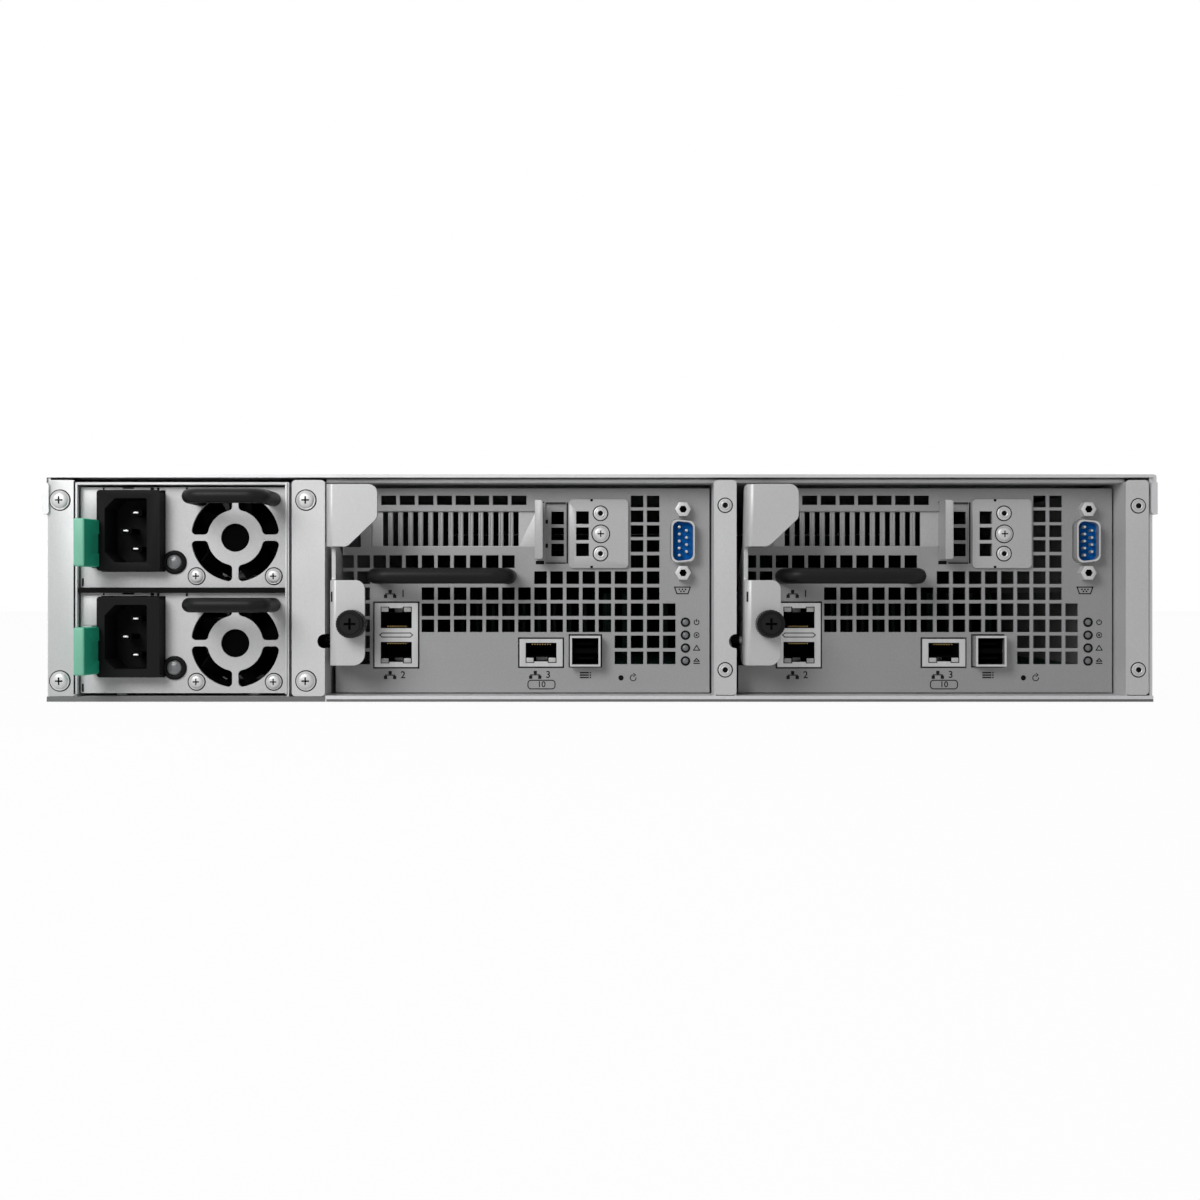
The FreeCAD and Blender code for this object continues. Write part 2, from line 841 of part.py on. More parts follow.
def psu_case(x0, z0):
    """Sheet case with its pierced face, the fan's frame, the inner parts and the latch's pin."""
    x1 = x0 + psu_width
    shell = box(x0, x1, psu_y, psu_end, z0, z0 + psu_height)
    shell = shell.cut(box(x0 + light_sheet, x1 - light_sheet, psu_y + psu_face, psu_end - light_sheet,
                          z0 + light_sheet, z0 + psu_height - light_sheet))
    gap = slide_gap
    near = psu_y - 1
    far = psu_y + psu_face + 1
    latch_x = x0 + latch_left
    cuts = [
        box(x0 + inlet_left - gap, x0 + inlet_left + inlet_width + gap, near, far,
            z0 + inlet_bottom - gap, z0 + inlet_bottom + inlet_height + gap),
        box(latch_x - gap, latch_x + latch_thickness + latch_swing_room, near, far,
            z0 + latch_bottom - gap, z0 + latch_bottom + latch_height + gap),
        grille_cutter(x0 + grille_x, z0 + grille_z),
    ]
    for i in range(end_slot_count):
        z = z0 + end_slot_first + i * end_slot_pitch
        cuts.append(box(x0 + end_slot_margin, x1 - end_slot_margin, psu_end - 2, psu_end + 1,
                        z, z + end_slot_height))
    half = tongue_width / 2 + gap
    middle = x0 + psu_width / 2
    cuts.append(box(middle - half, middle + half, psu_end - 2, psu_end + 1,
                    z0 + tongue_z - gap, z0 + tongue_z + tongue_height + gap))
    fan = fan_frame(x0 + grille_x, psu_y + psu_face, z0 + grille_z, small_fan_size, small_fan_depth,
                    grille_outer, small_hub_radius)
    return Part.makeCompound([shell.cut(cuts), fan, psu_inside(x0, z0), latch_hanger(x0, z0)])


def psu_inside(x0, z0):
    """Board on its foot, heat sink, choke, bulk capacitors, and the plug tongue on a riser."""
    middle = x0 + psu_width / 2
    start = psu_y + supply_board_start
    end = psu_end - supply_board_start
    top = z0 + supply_board_top
    pieces = [
        box(x0 + supply_board_margin, x0 + psu_width - supply_board_margin, start, end,
            z0 + supply_board_bottom, top),
        box(x0 + supply_foot_margin, x0 + psu_width - supply_foot_margin, psu_y + supply_foot_start,
            psu_end - supply_foot_start, z0 + light_sheet, z0 + supply_board_bottom),
        box(middle - supply_riser_width / 2, middle + supply_riser_width / 2, end, end + supply_riser_length,
            z0 + supply_board_bottom, z0 + tongue_z),
        box(middle - tongue_width / 2, middle + tongue_width / 2, psu_end - tongue_inside,
            psu_end + tongue_reach, z0 + tongue_z, z0 + tongue_z + tongue_height),
    ]
    for left, right, near, far, high in (supply_sink, supply_choke, supply_bulk):
        pieces.append(box(x0 + left, x0 + right, psu_y + near, psu_y + far, top, z0 + high))
    return joined(pieces)


def latch_hanger(x0, z0):
    """The pin that carries the latch, held between two ears on the case's left wall."""
    y = psu_y + latch_pivot_inside
    x = x0 + latch_left + latch_thickness / 2
    low = z0 + latch_bottom - latch_ear_gap
    high = z0 + latch_bottom + latch_height + latch_ear_gap
    reach = latch_ear_half_depth
    pieces = [rod(latch_pin_radius, (x, y, low), (0, 0, 1), high - low)]
    for z in (low - latch_ear_sheet, high):
        pieces.append(box(x0 + light_sheet, x + reach, y - reach, y + reach, z, z + latch_ear_sheet))
    return joined(pieces)


def grille_cutter(x, z):
    """The openings of the fan grille: four ring sectors with round corners and the middle hole."""
    start = psu_y - 1
    length = psu_face + 2
    ring = rod(grille_outer, (x, start, z), (0, 1, 0), length)
    ring = ring.cut(rod(grille_inner, (x, start - 1, z), (0, 1, 0), length + 2))
    for turn in (0, 90):
        bar = box(-grille_outer - 1, grille_outer + 1, start - 1, start + length + 1,
                  -grille_spoke / 2, grille_spoke / 2)
        bar.rotate(V(0, 0, 0), V(0, 1, 0), turn)
        bar.translate(V(x, 0, z))
        ring = ring.cut(bar)
    middle = start + length / 2
    sectors = []
    for sector in ring.Solids:
        corners = wanted_edges(sector, lambda p: abs(p.y - middle) < 0.01)
        sectors.append(sector.makeFillet(grille_corner, corners))
    return Part.makeCompound(sectors + [rod(grille_core, (x, start, z), (0, 1, 0), length)])


def psu_inlet(x0, z0):
    """Power inlet: moulded housing with a keyed socket and three blades."""
    left = x0 + inlet_left
    right = left + inlet_width
    bottom = z0 + inlet_bottom
    top = bottom + inlet_height
    mouth = psu_y - inlet_stand
    housing = plate_y(rectangle(left, right, bottom, top), mouth, psu_y + inlet_reach,
                      inlet_corner)
    socket_left = left + socket_wall
    socket_right = socket_left + socket_width
    middle = (bottom + top) / 2
    low = middle - socket_height / 2
    high = middle + socket_height / 2
    c = socket_corner
    points = [(socket_left + c, low), (socket_right, low), (socket_right, high), (socket_left + c, high),
              (socket_left, high - c), (socket_left, low + c)]
    housing = housing.cut(plate_y(points, mouth - 1, mouth + socket_depth, socket_edge_radius))
    blade_end = mouth + socket_depth
    blade_x = socket_right - blade_from_right
    places = [(blade_x, middle - blade_spread), (blade_x, middle + blade_spread)]
    places.append((blade_x - blade_step, middle))
    blades = []
    for x, z in places:
        blades.append(box(x - blade_height / 2, x + blade_height / 2, blade_end - blade_length, blade_end + 2,
                          z - blade_thickness / 2, z + blade_thickness / 2))
    return joined([housing] + blades)


def psu_handle(x0, z0):
    return pull_handle(x0 + psu_handle_left, x0 + psu_handle_right, psu_y, z0 + psu_handle_height,
                       psu_handle_radius, psu_handle_reach)


def psu_latch(x0, z0):
    """Moulded release tab that reaches through the face and swings on a pin inside."""
    x = x0 + latch_left
    low = z0 + latch_bottom
    high = low + latch_height
    tip = psu_y - latch_reach
    end = psu_y + latch_inside
    pad_end = psu_y - inlet_stand - latch_pad_gap
    outline = [(x, tip), (x + latch_pad_width, tip), (x + latch_pad_root_width, pad_end),
               (x + latch_thickness, pad_end), (x + latch_thickness, end), (x, end)]
    side = [(tip, low), (end, low), (end, high), (tip, high)]
    blade = plate_z(outline, low, high)
    blade = blade.common(plate_x(side, x, x + latch_pad_root_width, [latch_corner, 0, 0, latch_corner]))
    barrel_y = psu_y + latch_pivot_inside
    middle = x + latch_thickness / 2
    barrel = rod(latch_barrel_radius, (middle, barrel_y, low), (0, 0, 1), high - low)
    bore = rod(latch_bore_radius, (middle, barrel_y, low - 1), (0, 0, 1), high - low + 2)
    return joined([blade, barrel]).cut(bore)


def psu_rotor(x0, z0):
    start = psu_y + psu_face + small_rotor_gap
    return fan_rotor(x0 + grille_x, start, z0 + grille_z, grille_outer - small_fan_clearance, small_hub_radius,
                     small_rotor_depth, small_blade_count)


def vent_cells():
    """Column and row numbers of the square holes, counted from the grid's origin."""
    cells = []
    cells += [(k, 0) for k in range(-4, 6)]
    cells += [(k, 0) for k in (13, 14)]
    cells += [(k, 1) for k in range(7, 15)]
    cells += [(k, 2) for k in range(0, 15)]
    cells += [(k, row) for row in (3, 4) for k in range(0, 16)]
    cells += [(k, row) for row in (5, 6) for k in range(12, 16)]
    cells += [(-4, row) for row in range(1, 7)]
    return cells


def controller_face(x0):
    """Rear face of a controller with its vents, slot openings and port cut-outs."""
    z0 = controller_bottom
    y = controller_y
    holes = []

    def hole(x, z, width, height):
        holes.append(square_ring(x0 + x, z0 + z, width, height, y))

    for column, row in vent_cells():
        top = vent_origin_top - row * vent_pitch_z
        hole(vent_origin_x + column * vent_pitch_x, top - vent_size, vent_size, vent_size)
    for column in (13, 14):
        for row in range(4):
            low = high_vent_top - row * high_vent_pitch - high_vent_height
            hole(vent_origin_x + column * vent_pitch_x, low, vent_size, high_vent_height)
    for i in range(top_vent_count):
        hole(top_vent_x + i * top_vent_pitch, high_vent_top - top_vent_height, top_vent_width, top_vent_height)
    hole(slot_open_left, slot_open_bottom, slot_open_right - slot_open_left, slot_open_top - slot_open_bottom)
    hole(corner_open_left, corner_open_bottom, corner_open_right - corner_open_left,
         corner_open_top - corner_open_bottom)
    hole(recess_left, recess_bottom, recess_right - recess_left, recess_top - recess_bottom)
    for i in range(side_vent_count):
        hole(retainer_vent_x, side_vent_top - i * vent_pitch_z - vent_size, vent_size, vent_size)
    g = port_gap
    hole(stack_left - g, stack_bottom - g, stack_width + 2 * g, stack_height + 2 * g)
    hole(jack_left - g, jack_bottom - g, jack_width + 2 * g, jack_height + 2 * g)
    hole(sas_left - g, sas_bottom - g, sas_width + 2 * g, sas_height + 2 * g)
    holes.append(serial_outline(x0, y, serial_gap))
    holes.append(Part.Wire(Part.makeCircle(reset_radius, V(x0 + reset_x, y, z0 + reset_z), V(0, 1, 0))))
    outline = square_ring(x0, z0, controller_width, controller_height, y)
    plate = pierced_plate(outline, holes, y, y + face_sheet)
    near = y - 1
    far = y + face_sheet + 1
    cuts = [box(x0 - 1, x0 + ear_step_width, near, far, z0 + ear_step_height, z0 + controller_height + 1)]
    for row in (0, 1):
        top = z0 + vent_origin_top - row * vent_pitch_z
        left = x0 + vent_origin_x - 5 * vent_pitch_x
        cuts.append(box(left, left + vent_size, near, far, top - vent_size, top))
    return plate.cut(cuts)


def serial_outline(x0, y, grow):
    """The D-shaped outline of the serial connector, its long side to the left."""
    x = x0 + serial_x
    z = controller_bottom + serial_z
    half = serial_width / 2 + grow
    tall = serial_length / 2 + grow
    points = [V(x - half, y, z - tall), V(x + half, y, z - tall + serial_taper),
              V(x + half, y, z + tall - serial_taper), V(x - half, y, z + tall)]
    return rounded_wire(points, [serial_corner] * 4)


def controller_tray(x0):
    """The face with its flanges, recessed panel, screw post and lever ear, and the tray fastened behind it."""
    z0 = controller_bottom
    y0 = controller_y
    y1 = controller_end
    wall_left = x0 + ear_step_width
    wall_right = wall_left + tray_sheet
    right = x0 + controller_width
    inside = y0 + face_sheet
    flange_end = y0 + flange_depth
    face = [
        controller_face(x0),
        recess_panel(x0),
        box(wall_left, right, y0, flange_end, controller_top - tray_sheet, controller_top),
        box(right - tray_sheet, right, y0, flange_end, z0, controller_top),
        rod(post_radius, (x0 + screw_x, inside, z0 + screw_z), (0, -1, 0), post_height + face_sheet),
    ]
    tray = [
        box(wall_left, right - tray_sheet, inside, y1, z0, z0 + tray_sheet),
        box(wall_left, wall_right, inside, y1, z0, z0 + tray_wall_height),
        box(right - tray_sheet, right, flange_end, y1, z0, z0 + tray_wall_height),
    ]
    for x in (x0 + post_block_from_left, right - post_block_from_right):
        for y in (y0 + post_block_from_rear, (y0 + y1) / 2, y1 - post_block_from_end):
            tray.append(box(x, x + post_block, y, y + post_block, z0 + tray_sheet / 2, board_bottom))
    pivot_y = y0 - lever_pivot_out
    pivot_z = z0 + lever_pivot_z
    half = pivot_ear_half
    ear = [(pivot_y - half, pivot_z - half), (inside, pivot_z - half),
           (inside, pivot_z + half), (pivot_y - half, pivot_z + half)]
    face.append(plate_x(ear, wall_left, wall_right, [pivot_ear_corner, 0, 0, pivot_ear_corner]))
    hole = rod(lever_stud_radius + lever_hole_gap, (wall_left - 1, pivot_y, pivot_z), (1, 0, 0), tray_sheet + 2)
    tap = rod(shank_radius - thread_allowance, (x0 + screw_x, y0 - post_height - 1, z0 + screw_z), (0, 1, 0),
              post_height - 1)
    return Part.makeCompound([joined(face).cut([hole, tap]), joined(tray)])


def recess_panel(x0):
    """Sunk strip with three vents, behind its opening in the face."""
    y = controller_y + face_sheet
    z0 = controller_bottom
    holes = []
    for i in range(side_vent_count):
        low = z0 + side_vent_top - i * vent_pitch_z - vent_size
        holes.append(square_ring(x0 + recess_vent_x, low, vent_size, vent_size, y))
    width = recess_right - recess_left + panel_lap + slide_gap
    height = recess_top - recess_bottom + 2 * panel_lap
    outline = square_ring(x0 + recess_left - panel_lap, z0 + recess_bottom - panel_lap, width, height, y)
    return pierced_plate(outline, holes, y, y + face_sheet)


def port_shell(x, z, width, height, stand, keys):
    """A jack housing. Each key is the bottom and height of a socket and whether its notch is at the top."""
    y = controller_y - stand
    end = y + port_depth - port_wall
    cheek = port_cheek
    shell = box(x, x + width, y, y + port_depth, z, z + height)
    cuts = []
    middle = x + width / 2
    for low, tall, notch_up in keys:
        cuts.append(box(x + cheek, x + width - cheek, y - 1, end, z + low, z + low + tall))
        notch = z + low + tall - key_lap if notch_up else z + low - key_height + key_lap
        cuts.append(box(middle - key_width / 2, middle + key_width / 2, y - 1, end, notch, notch + key_height))
    return shell.cut(cuts)


def rear_ports(x0):
    """Stacked jacks, single jack, cage connector and serial connector."""
    z0 = controller_bottom
    socket = (stack_height - stack_bar) / 2 - port_wall - key_height
    upper = stack_height / 2 + stack_bar / 2
    stack = port_shell(x0 + stack_left, z0 + stack_bottom, stack_width, stack_height, port_stand,
                       [(port_wall + key_height, socket, False), (upper, socket, True)])
    jack = port_shell(x0 + jack_left, z0 + jack_bottom, jack_width, jack_height, port_stand,
                      [(port_wall + key_height, jack_height - 2 * port_wall - key_height, False)])
    return Part.makeCompound([stack, jack, sas_cage(x0), serial_port(x0)])


def sas_cage(x0):
    """Square cage that stands out of the face, split by a thin tongue."""
    left = x0 + sas_left
    low = controller_bottom + sas_bottom
    y = controller_y - sas_stand
    cage = box(left, left + sas_width, y, y + sas_stand + port_depth, low, low + sas_height)
    room = (sas_height - 2 * sas_wall - sas_tongue) / 2
    cuts = []
    for start in (low + sas_wall, low + sas_wall + room + sas_tongue):
        cuts.append(box(left + sas_wall, left + sas_width - sas_wall, y - 1,
                        y + sas_stand + port_depth - sas_back, start, start + room))
    cuts.append(box(left + sas_wall, left + sas_width - sas_wall, y - 1, y + sas_mouth_depth,
                    low + sas_wall, low + sas_height - sas_wall))
    return cage.cut(cuts)


def serial_port(x0):
    """D-shaped shell with its pins, on a body behind the face."""
    x = x0 + serial_x
    z = controller_bottom + serial_z
    y0 = controller_y
    front_y = y0 - serial_stand
    outer = Part.Face(serial_outline(x0, front_y, 0)).extrude(V(0, serial_stand + face_sheet + 1, 0))
    inner = Part.Face(serial_outline(x0, front_y, -serial_wall)).extrude(V(0, serial_stand - serial_floor, 0))
    half = serial_flange_width / 2
    body = box(x - half, x + half, y0 + face_sheet, y0 + serial_body_depth,
               z - serial_flange_length / 2, z + serial_flange_length / 2)
    pins = []
    for row, count in ((-1, 5), (1, 4)):
        px = x + row * serial_row_gap / 2
        for i in range(count):
            pz = z + (i - (count - 1) / 2) * serial_pin_pitch
            pins.append(box(px - serial_pin / 2, px + serial_pin / 2, front_y + pin_inset, y0,
                            pz - serial_pin / 2, pz + serial_pin / 2))
    return joined([outer.cut(inner), body] + pins)


def slot_cover(x0):
    """Slotted cover behind the expansion opening, its finger lip, and the retainer plate beside it."""
    z0 = controller_bottom
    y = controller_y + face_sheet + slide_gap
    slots = []
    opening_height = slot_open_top - slot_open_bottom
    for i in range(cover_slot_count):
        slots.append(square_ring(x0 + cover_slot_first + i * cover_slot_pitch,
                                 z0 + slot_open_bottom + cover_slot_margin, cover_slot_width,
                                 opening_height - 2 * cover_slot_margin, y))
    outline = square_ring(x0 + slot_open_left - cover_lap, z0 + slot_open_bottom - cover_lap,
                          lip_x + lip_sheet - slot_open_left + cover_lap, opening_height + 2 * cover_lap, y)
    panel = pierced_plate(outline, slots, y, y + face_sheet)
    lip = x0 + lip_x
    outer = controller_y - lip_stand
    root_y = controller_y - lip_root_out
    root = box(lip, lip + lip_sheet, root_y, y + face_sheet, z0 + slot_open_bottom + slide_gap,
               z0 + slot_open_top - slide_gap)
    web = box(lip, lip + lip_sheet, outer, root_y + lip_web_lap, z0 + lip_bottom, z0 + lip_top)
    turn = plate_y(rectangle(lip, lip + lip_return, z0 + lip_bottom, z0 + lip_top), outer, outer + lip_sheet,
                   lip_corner)
    cover = joined([panel, root, web, turn])
    plate_holes = []
    plate_y0 = controller_y - retainer_thickness
    for i in range(side_vent_count):
        low = z0 + side_vent_top - i * vent_pitch_z - vent_size
        plate_holes.append(square_ring(x0 + retainer_vent_x, low, vent_size, vent_size, plate_y0))
    corners = rectangle(x0 + retainer_left, x0 + retainer_right, z0 + retainer_bottom, z0 + retainer_top)
    edge = rounded_wire([V(a, plate_y0, b) for a, b in corners], [retainer_corner] * 4)
    retainer = pierced_plate(edge, plate_holes, plate_y0, controller_y)
    return Part.makeCompound([cover, retainer])


def controller_handle(x0):
    return pull_handle(x0 + handle_left, x0 + handle_right, controller_y, controller_bottom + handle_height,
                       handle_radius, handle_reach)


def controller_lever(x0):
    """Bent ejector lever: a side web with an upper thumb tab and a lower tab that takes the thumbscrew."""
    z0 = controller_bottom
    y0 = controller_y
    left = x0 + lever_left
    inner = left + lever_sheet
    out_low = y0 - lower_tab_out
    out_high = y0 - upper_tab_out
    back = y0 + lever_web_inside
    web_points = [
        (out_low, z0 + lower_tab_bottom), (out_low, z0 + lower_tab_top),
        (y0 - lever_web_out, z0 + lower_tab_top), (y0 - lever_web_out, z0 + upper_tab_bottom),
        (out_high, z0 + upper_tab_bottom), (out_high, z0 + upper_tab_top),
        (y0 - web_slope_start, z0 + upper_tab_top),
        (y0 - web_slope_end, z0 + upper_tab_bottom + web_slope_rise),
        (back, z0 + lower_tab_top + web_back_rise), (back, z0 + lower_tab_bottom + web_back_height),
        (y0 + web_foot_inside, z0 + lower_tab_bottom + web_foot_inside),
        (y0 - web_foot_out, z0 + lower_tab_bottom),
    ]
    web = plate_x(web_points, left, inner,
                  [0, 0, web_outer_corner, web_inner_corner, 0, 0, web_slope_corner, web_bend_corner,
                   web_foot_corner, web_bend_corner, web_foot_corner, web_foot_corner])
    right_high = left + upper_tab_width
    upper_points = [
        (left, z0 + upper_tab_bottom), (right_high - upper_tab_slope, z0 + upper_tab_bottom),
        (right_high, z0 + upper_tab_bottom + upper_tab_slope_height), (right_high, z0 + upper_tab_top),
        (left, z0 + upper_tab_top),
    ]
    upper = plate_y(upper_points, out_high, out_high + lever_sheet, [0, tab_corner, tab_corner, tab_corner, 0])
    lower = plate_y(rectangle(left, left + lower_tab_width, z0 + lower_tab_bottom, z0 + lower_tab_top),
                    out_low, out_low + lever_sheet, [0, tab_corner + 1, tab_corner, 0])
    lever = joined([web, upper, lower])
    lever = lever.makeFillet(lever_bend, wanted_edges(lever, lambda p: abs(p.x - left) < 0.01 and (
        abs(p.y - out_high) < 0.01 or abs(p.y - out_low) < 0.01)))
    stud_start = x0 - controller_left_gap - lever_stud_reach
    stud = rod(lever_stud_radius, (stud_start, y0 - lever_pivot_out, z0 + lever_pivot_z), (1, 0, 0),
               inner + slide_gap + tray_sheet - stud_start)
    hole = rod(shank_radius + shank_gap, (x0 + screw_x, out_low - 1, z0 + screw_z), (0, 1, 0), lever_sheet + 2)
    return joined([lever, stud]).cut(hole)


def thumbscrew(x0):
    """Captive screw: a knob with a cross recess and a shank through the tab."""
    y_tab = controller_y - lower_tab_out
    x = x0 + screw_x
    z = controller_bottom + screw_z
    top = y_tab - knob_gap - knob_height
    knob = rod(knob_radius, (x, top, z), (0, 1, 0), knob_height)
    knob = knob.makeChamfer(knob_chamfer, wanted_edges(knob, lambda p: p.y < top + 0.01))
    shank_end = controller_y - post_height - slide_gap
    shank = rod(shank_radius, (x, y_tab - knob_gap, z), (0, 1, 0), shank_end - y_tab + knob_gap)
    arm = recess_arm
    slot = recess_slot / 2
    recess = [box(x - arm, x + arm, top - 1, top + recess_depth, z - slot, z + slot),
              box(x - slot, x + slot, top - 1, top + recess_depth, z - arm, z + arm)]
    return joined([knob, shank]).cut(recess)


def controller_board(x0):
    """Circuit board with its plug, heat sink, memory modules and the fan's frame."""
    left = x0 + ear_step_width + tray_sheet + board_side_gap
    right = x0 + controller_width - tray_sheet - board_side_gap
    start = controller_y + board_front_gap
    pcb = box(left, right, start, controller_end, board_bottom, board_top)
    x = x0 + (controller_width - controller_plug_width) / 2
    plug = box(x, x + controller_plug_width, controller_end - plug_length, controller_end, board_top,
               board_top + controller_plug_height)
    pieces = [pcb, plug]
    sink_left = x0 + sink_x
    sink_start = controller_y + sink_y
    pieces.append(box(sink_left, sink_left + sink_width, sink_start, sink_start + sink_length, board_top,
                      board_top + sink_base))
    step = (sink_width - fin_thickness) / (fin_count - 1)
    for i in range(fin_count):
        fin = sink_left + i * step
        pieces.append(box(fin, fin + fin_thickness, sink_start, sink_start + sink_length, board_top,
                          board_top + sink_height))
    for i in range(module_count):
        place = x0 + module_x + i * module_pitch
        pieces.append(box(place, place + module_thickness, controller_y + module_y,
                          controller_y + module_y + module_length, board_top, board_top + module_height))
    frame = fan_frame(*fan_place(x0), fan_size, fan_depth, fan_size / 2 - fan_rim, hub_radius)
    return Part.makeCompound([joined(pieces), frame])


def fan_place(x0):
    """Centre of the controller fan in X and Z, and where its frame starts along Y."""
    return x0 + controller_width / 2, controller_end - fan_from_rear, board_top + fan_size / 2


def controller_rotor(x0):
    x, y, z = fan_place(x0)
    seat = fan_depth * fan_seat_share
    bore = fan_size / 2 - fan_rim
    depth = fan_depth - seat - hub_gap - fan_front_gap
    return fan_rotor(x, y + fan_front_gap, z, bore - fan_clearance, hub_radius, depth, blade_count)


def drive_tray(middle, low):
    """Sled with a grilled bezel, two rails and the drive between them."""
    rail = column_width / 2 - tray_gap
    bottom = low + tray_gap
    top = low + row_height - tray_gap
    bezel_low = low - light_sheet / 2 + bezel_gap
    bezel_high = low + row_height + light_sheet / 2 - bezel_gap
    side = column_pitch / 2 - bezel_gap
    bezel_start = cage_front + bezel_gap
    bezel = box(middle - side, middle + side, bezel_start, front, bezel_low, bezel_high)
    lever_left = middle - side + tray_lever_inset
    lever_z = (bezel_low + bezel_high) / 2
    lever_end = lever_left + tray_lever_length
    recess_half = tray_lever_height / 2 + tray_lever_gap
    recess_start = front - tray_lever_depth - tray_lever_gap
    cuts = [box(lever_left - tray_lever_gap, lever_end + tray_lever_gap, recess_start, front + 1,
                lever_z - recess_half, lever_z + recess_half)]
    slot_left = lever_end + tray_lever_gap + 2 * bezel_wall
    for i in range(bezel_slot_count):
        z = lever_z + (i - (bezel_slot_count - 1) / 2) * bezel_slot_pitch
        cuts.append(box(slot_left, slot_left + bezel_slot_width, bezel_start - 1, front + 1, z - grille_bar / 2,
                        z + grille_bar / 2))
    bezel = bezel.cut(cuts)
    drive_back = cage_front - drive_length
    pieces = [bezel]
    for face in (-1, 1):
        wall = sorted((middle + face * rail, middle + face * (rail - rail_thickness)))
        lip = sorted((middle + face * rail, middle + face * (rail - rail_lip_width)))
        pieces.append(box(wall[0], wall[1], drive_back, bezel_start + 1, bottom, top))
        pieces.append(box(lip[0], lip[1], drive_back, bezel_start + 1, bottom, bottom + rail_lip))
    sled = joined(pieces)
    drive_low = bottom + rail_lip
    drive = box(middle - drive_width / 2, middle + drive_width / 2, drive_back, cage_front, drive_low,
                drive_low + drive_height)
    return Part.makeCompound([sled, drive])


def tray_lever_axis(middle):
    """Where a tray lever turns, in X and Y."""
    side = column_pitch / 2 - bezel_gap
    return middle - side + tray_lever_inset + tray_lever_depth / 2, front - tray_lever_depth / 2


def tray_lever(middle, low):
    """Flat handle with a round hinge barrel at one end and a chamfered grip at the other."""
    x, y = tray_lever_axis(middle)
    bezel_low = low - light_sheet / 2 + bezel_gap
    bezel_high = low + row_height + light_sheet / 2 - bezel_gap
    z = (bezel_low + bezel_high) / 2
    half = tray_lever_height / 2
    end = x - tray_lever_depth / 2 + tray_lever_length
    depth = tray_lever_depth / 2
    points = [(x, y - depth), (end, y - depth), (end, y + depth - grip_chamfer),
              (end - grip_chamfer, y + depth), (x, y + depth)]
    bar = plate_z(points, z - half, z + half)
    barrel = rod(depth, (x, y, z - half), (0, 0, 1), tray_lever_height)
    return joined([bar, barrel])


def save(name, shape):
    shape.exportStep("parts/" + name + ".step")


def main():
    os.makedirs("parts", exist_ok=True)
    save("chassis_base", chassis_base())
    save("top_cover", top_cover())
    save("psu_cage", psu_cage())
    save("bay_frame", bay_frame())
    save("drive_cage", drive_cage())
    save("backplane", backplane())
    save("power_board", power_board())
    save("rack_ear_left", joined([ear_plate(-1), pull(-1)]))
    save("rack_ear_right", rack_ear_right())
    save("power_button", power_button())
    for level, name in ((0, "lower"), (1, "upper")):
        z0 = psu_bottom + level * psu_pitch
        save("psu_" + name + "_case", psu_case(psu_left, z0))
        save("psu_" + name + "_inlet", psu_inlet(psu_left, z0))
        save("psu_" + name + "_handle", psu_handle(psu_left, z0))
        save("psu_" + name + "_latch", psu_latch(psu_left, z0))
        save("psu_" + name + "_rotor", psu_rotor(psu_left, z0))
    for bay, name in ((bay_a_left, "a"), (bay_b_left, "b")):
        x0 = bay + controller_left_gap
        save("controller_" + name + "_tray", controller_tray(x0))
        save("controller_" + name + "_board", controller_board(x0))
        save("controller_" + name + "_ports", rear_ports(x0))
        save("controller_" + name + "_slot_cover", slot_cover(x0))
        save("controller_" + name + "_handle", controller_handle(x0))
        save("controller_" + name + "_lever", controller_lever(x0))
        save("controller_" + name + "_thumbscrew", thumbscrew(x0))
        save("controller_" + name + "_rotor", controller_rotor(x0))
    number = 0
    for row in range(row_count):
        for column in range(column_count):
            number += 1
            save("drive_tray_" + str(number), drive_tray(column_centre(column), row_bottom(row)))
            save("tray_lever_" + str(number), tray_lever(column_centre(column), row_bottom(row)))


main()
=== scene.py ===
import math

import bmesh
import bpy
from mathutils import Matrix, Vector


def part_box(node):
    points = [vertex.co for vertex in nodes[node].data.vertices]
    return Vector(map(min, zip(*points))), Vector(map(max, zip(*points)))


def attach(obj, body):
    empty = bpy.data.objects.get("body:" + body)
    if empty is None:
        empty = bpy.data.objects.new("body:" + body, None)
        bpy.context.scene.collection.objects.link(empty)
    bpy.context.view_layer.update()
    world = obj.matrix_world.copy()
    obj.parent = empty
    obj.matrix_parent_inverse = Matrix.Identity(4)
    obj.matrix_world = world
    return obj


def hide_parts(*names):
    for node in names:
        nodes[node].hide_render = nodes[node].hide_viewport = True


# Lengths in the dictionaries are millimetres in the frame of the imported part.
# X runs to the right in the rear view, Y from the ports to the drives, Z up.
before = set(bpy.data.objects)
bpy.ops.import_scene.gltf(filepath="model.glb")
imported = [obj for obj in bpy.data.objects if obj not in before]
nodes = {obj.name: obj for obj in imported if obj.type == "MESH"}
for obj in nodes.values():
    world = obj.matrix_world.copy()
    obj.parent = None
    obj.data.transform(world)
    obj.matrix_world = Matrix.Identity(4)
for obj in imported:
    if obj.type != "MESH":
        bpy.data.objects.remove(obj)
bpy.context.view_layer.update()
mm = 0.001
outward = Matrix.Rotation(math.radians(90), 4, "X")       # turns +Z to the rear
print("frame loaded:", len(nodes), "nodes")

# where the main pieces are

controllers = {"names": ("a", "b"), "lefts": (-104.5, 54.7), "bottom": 2.8, "face": -332.2,
               "retainerProud": 1.4, "lampHeights": (27.8, 22.7, 17.6, 12.5)}
supplies = {"names": ("lower", "upper"), "left": -201.95, "bottoms": (3.2, 44.25), "face": -342.5}
rearPlane = -346.0
frontPlane = 346.0


# finishes

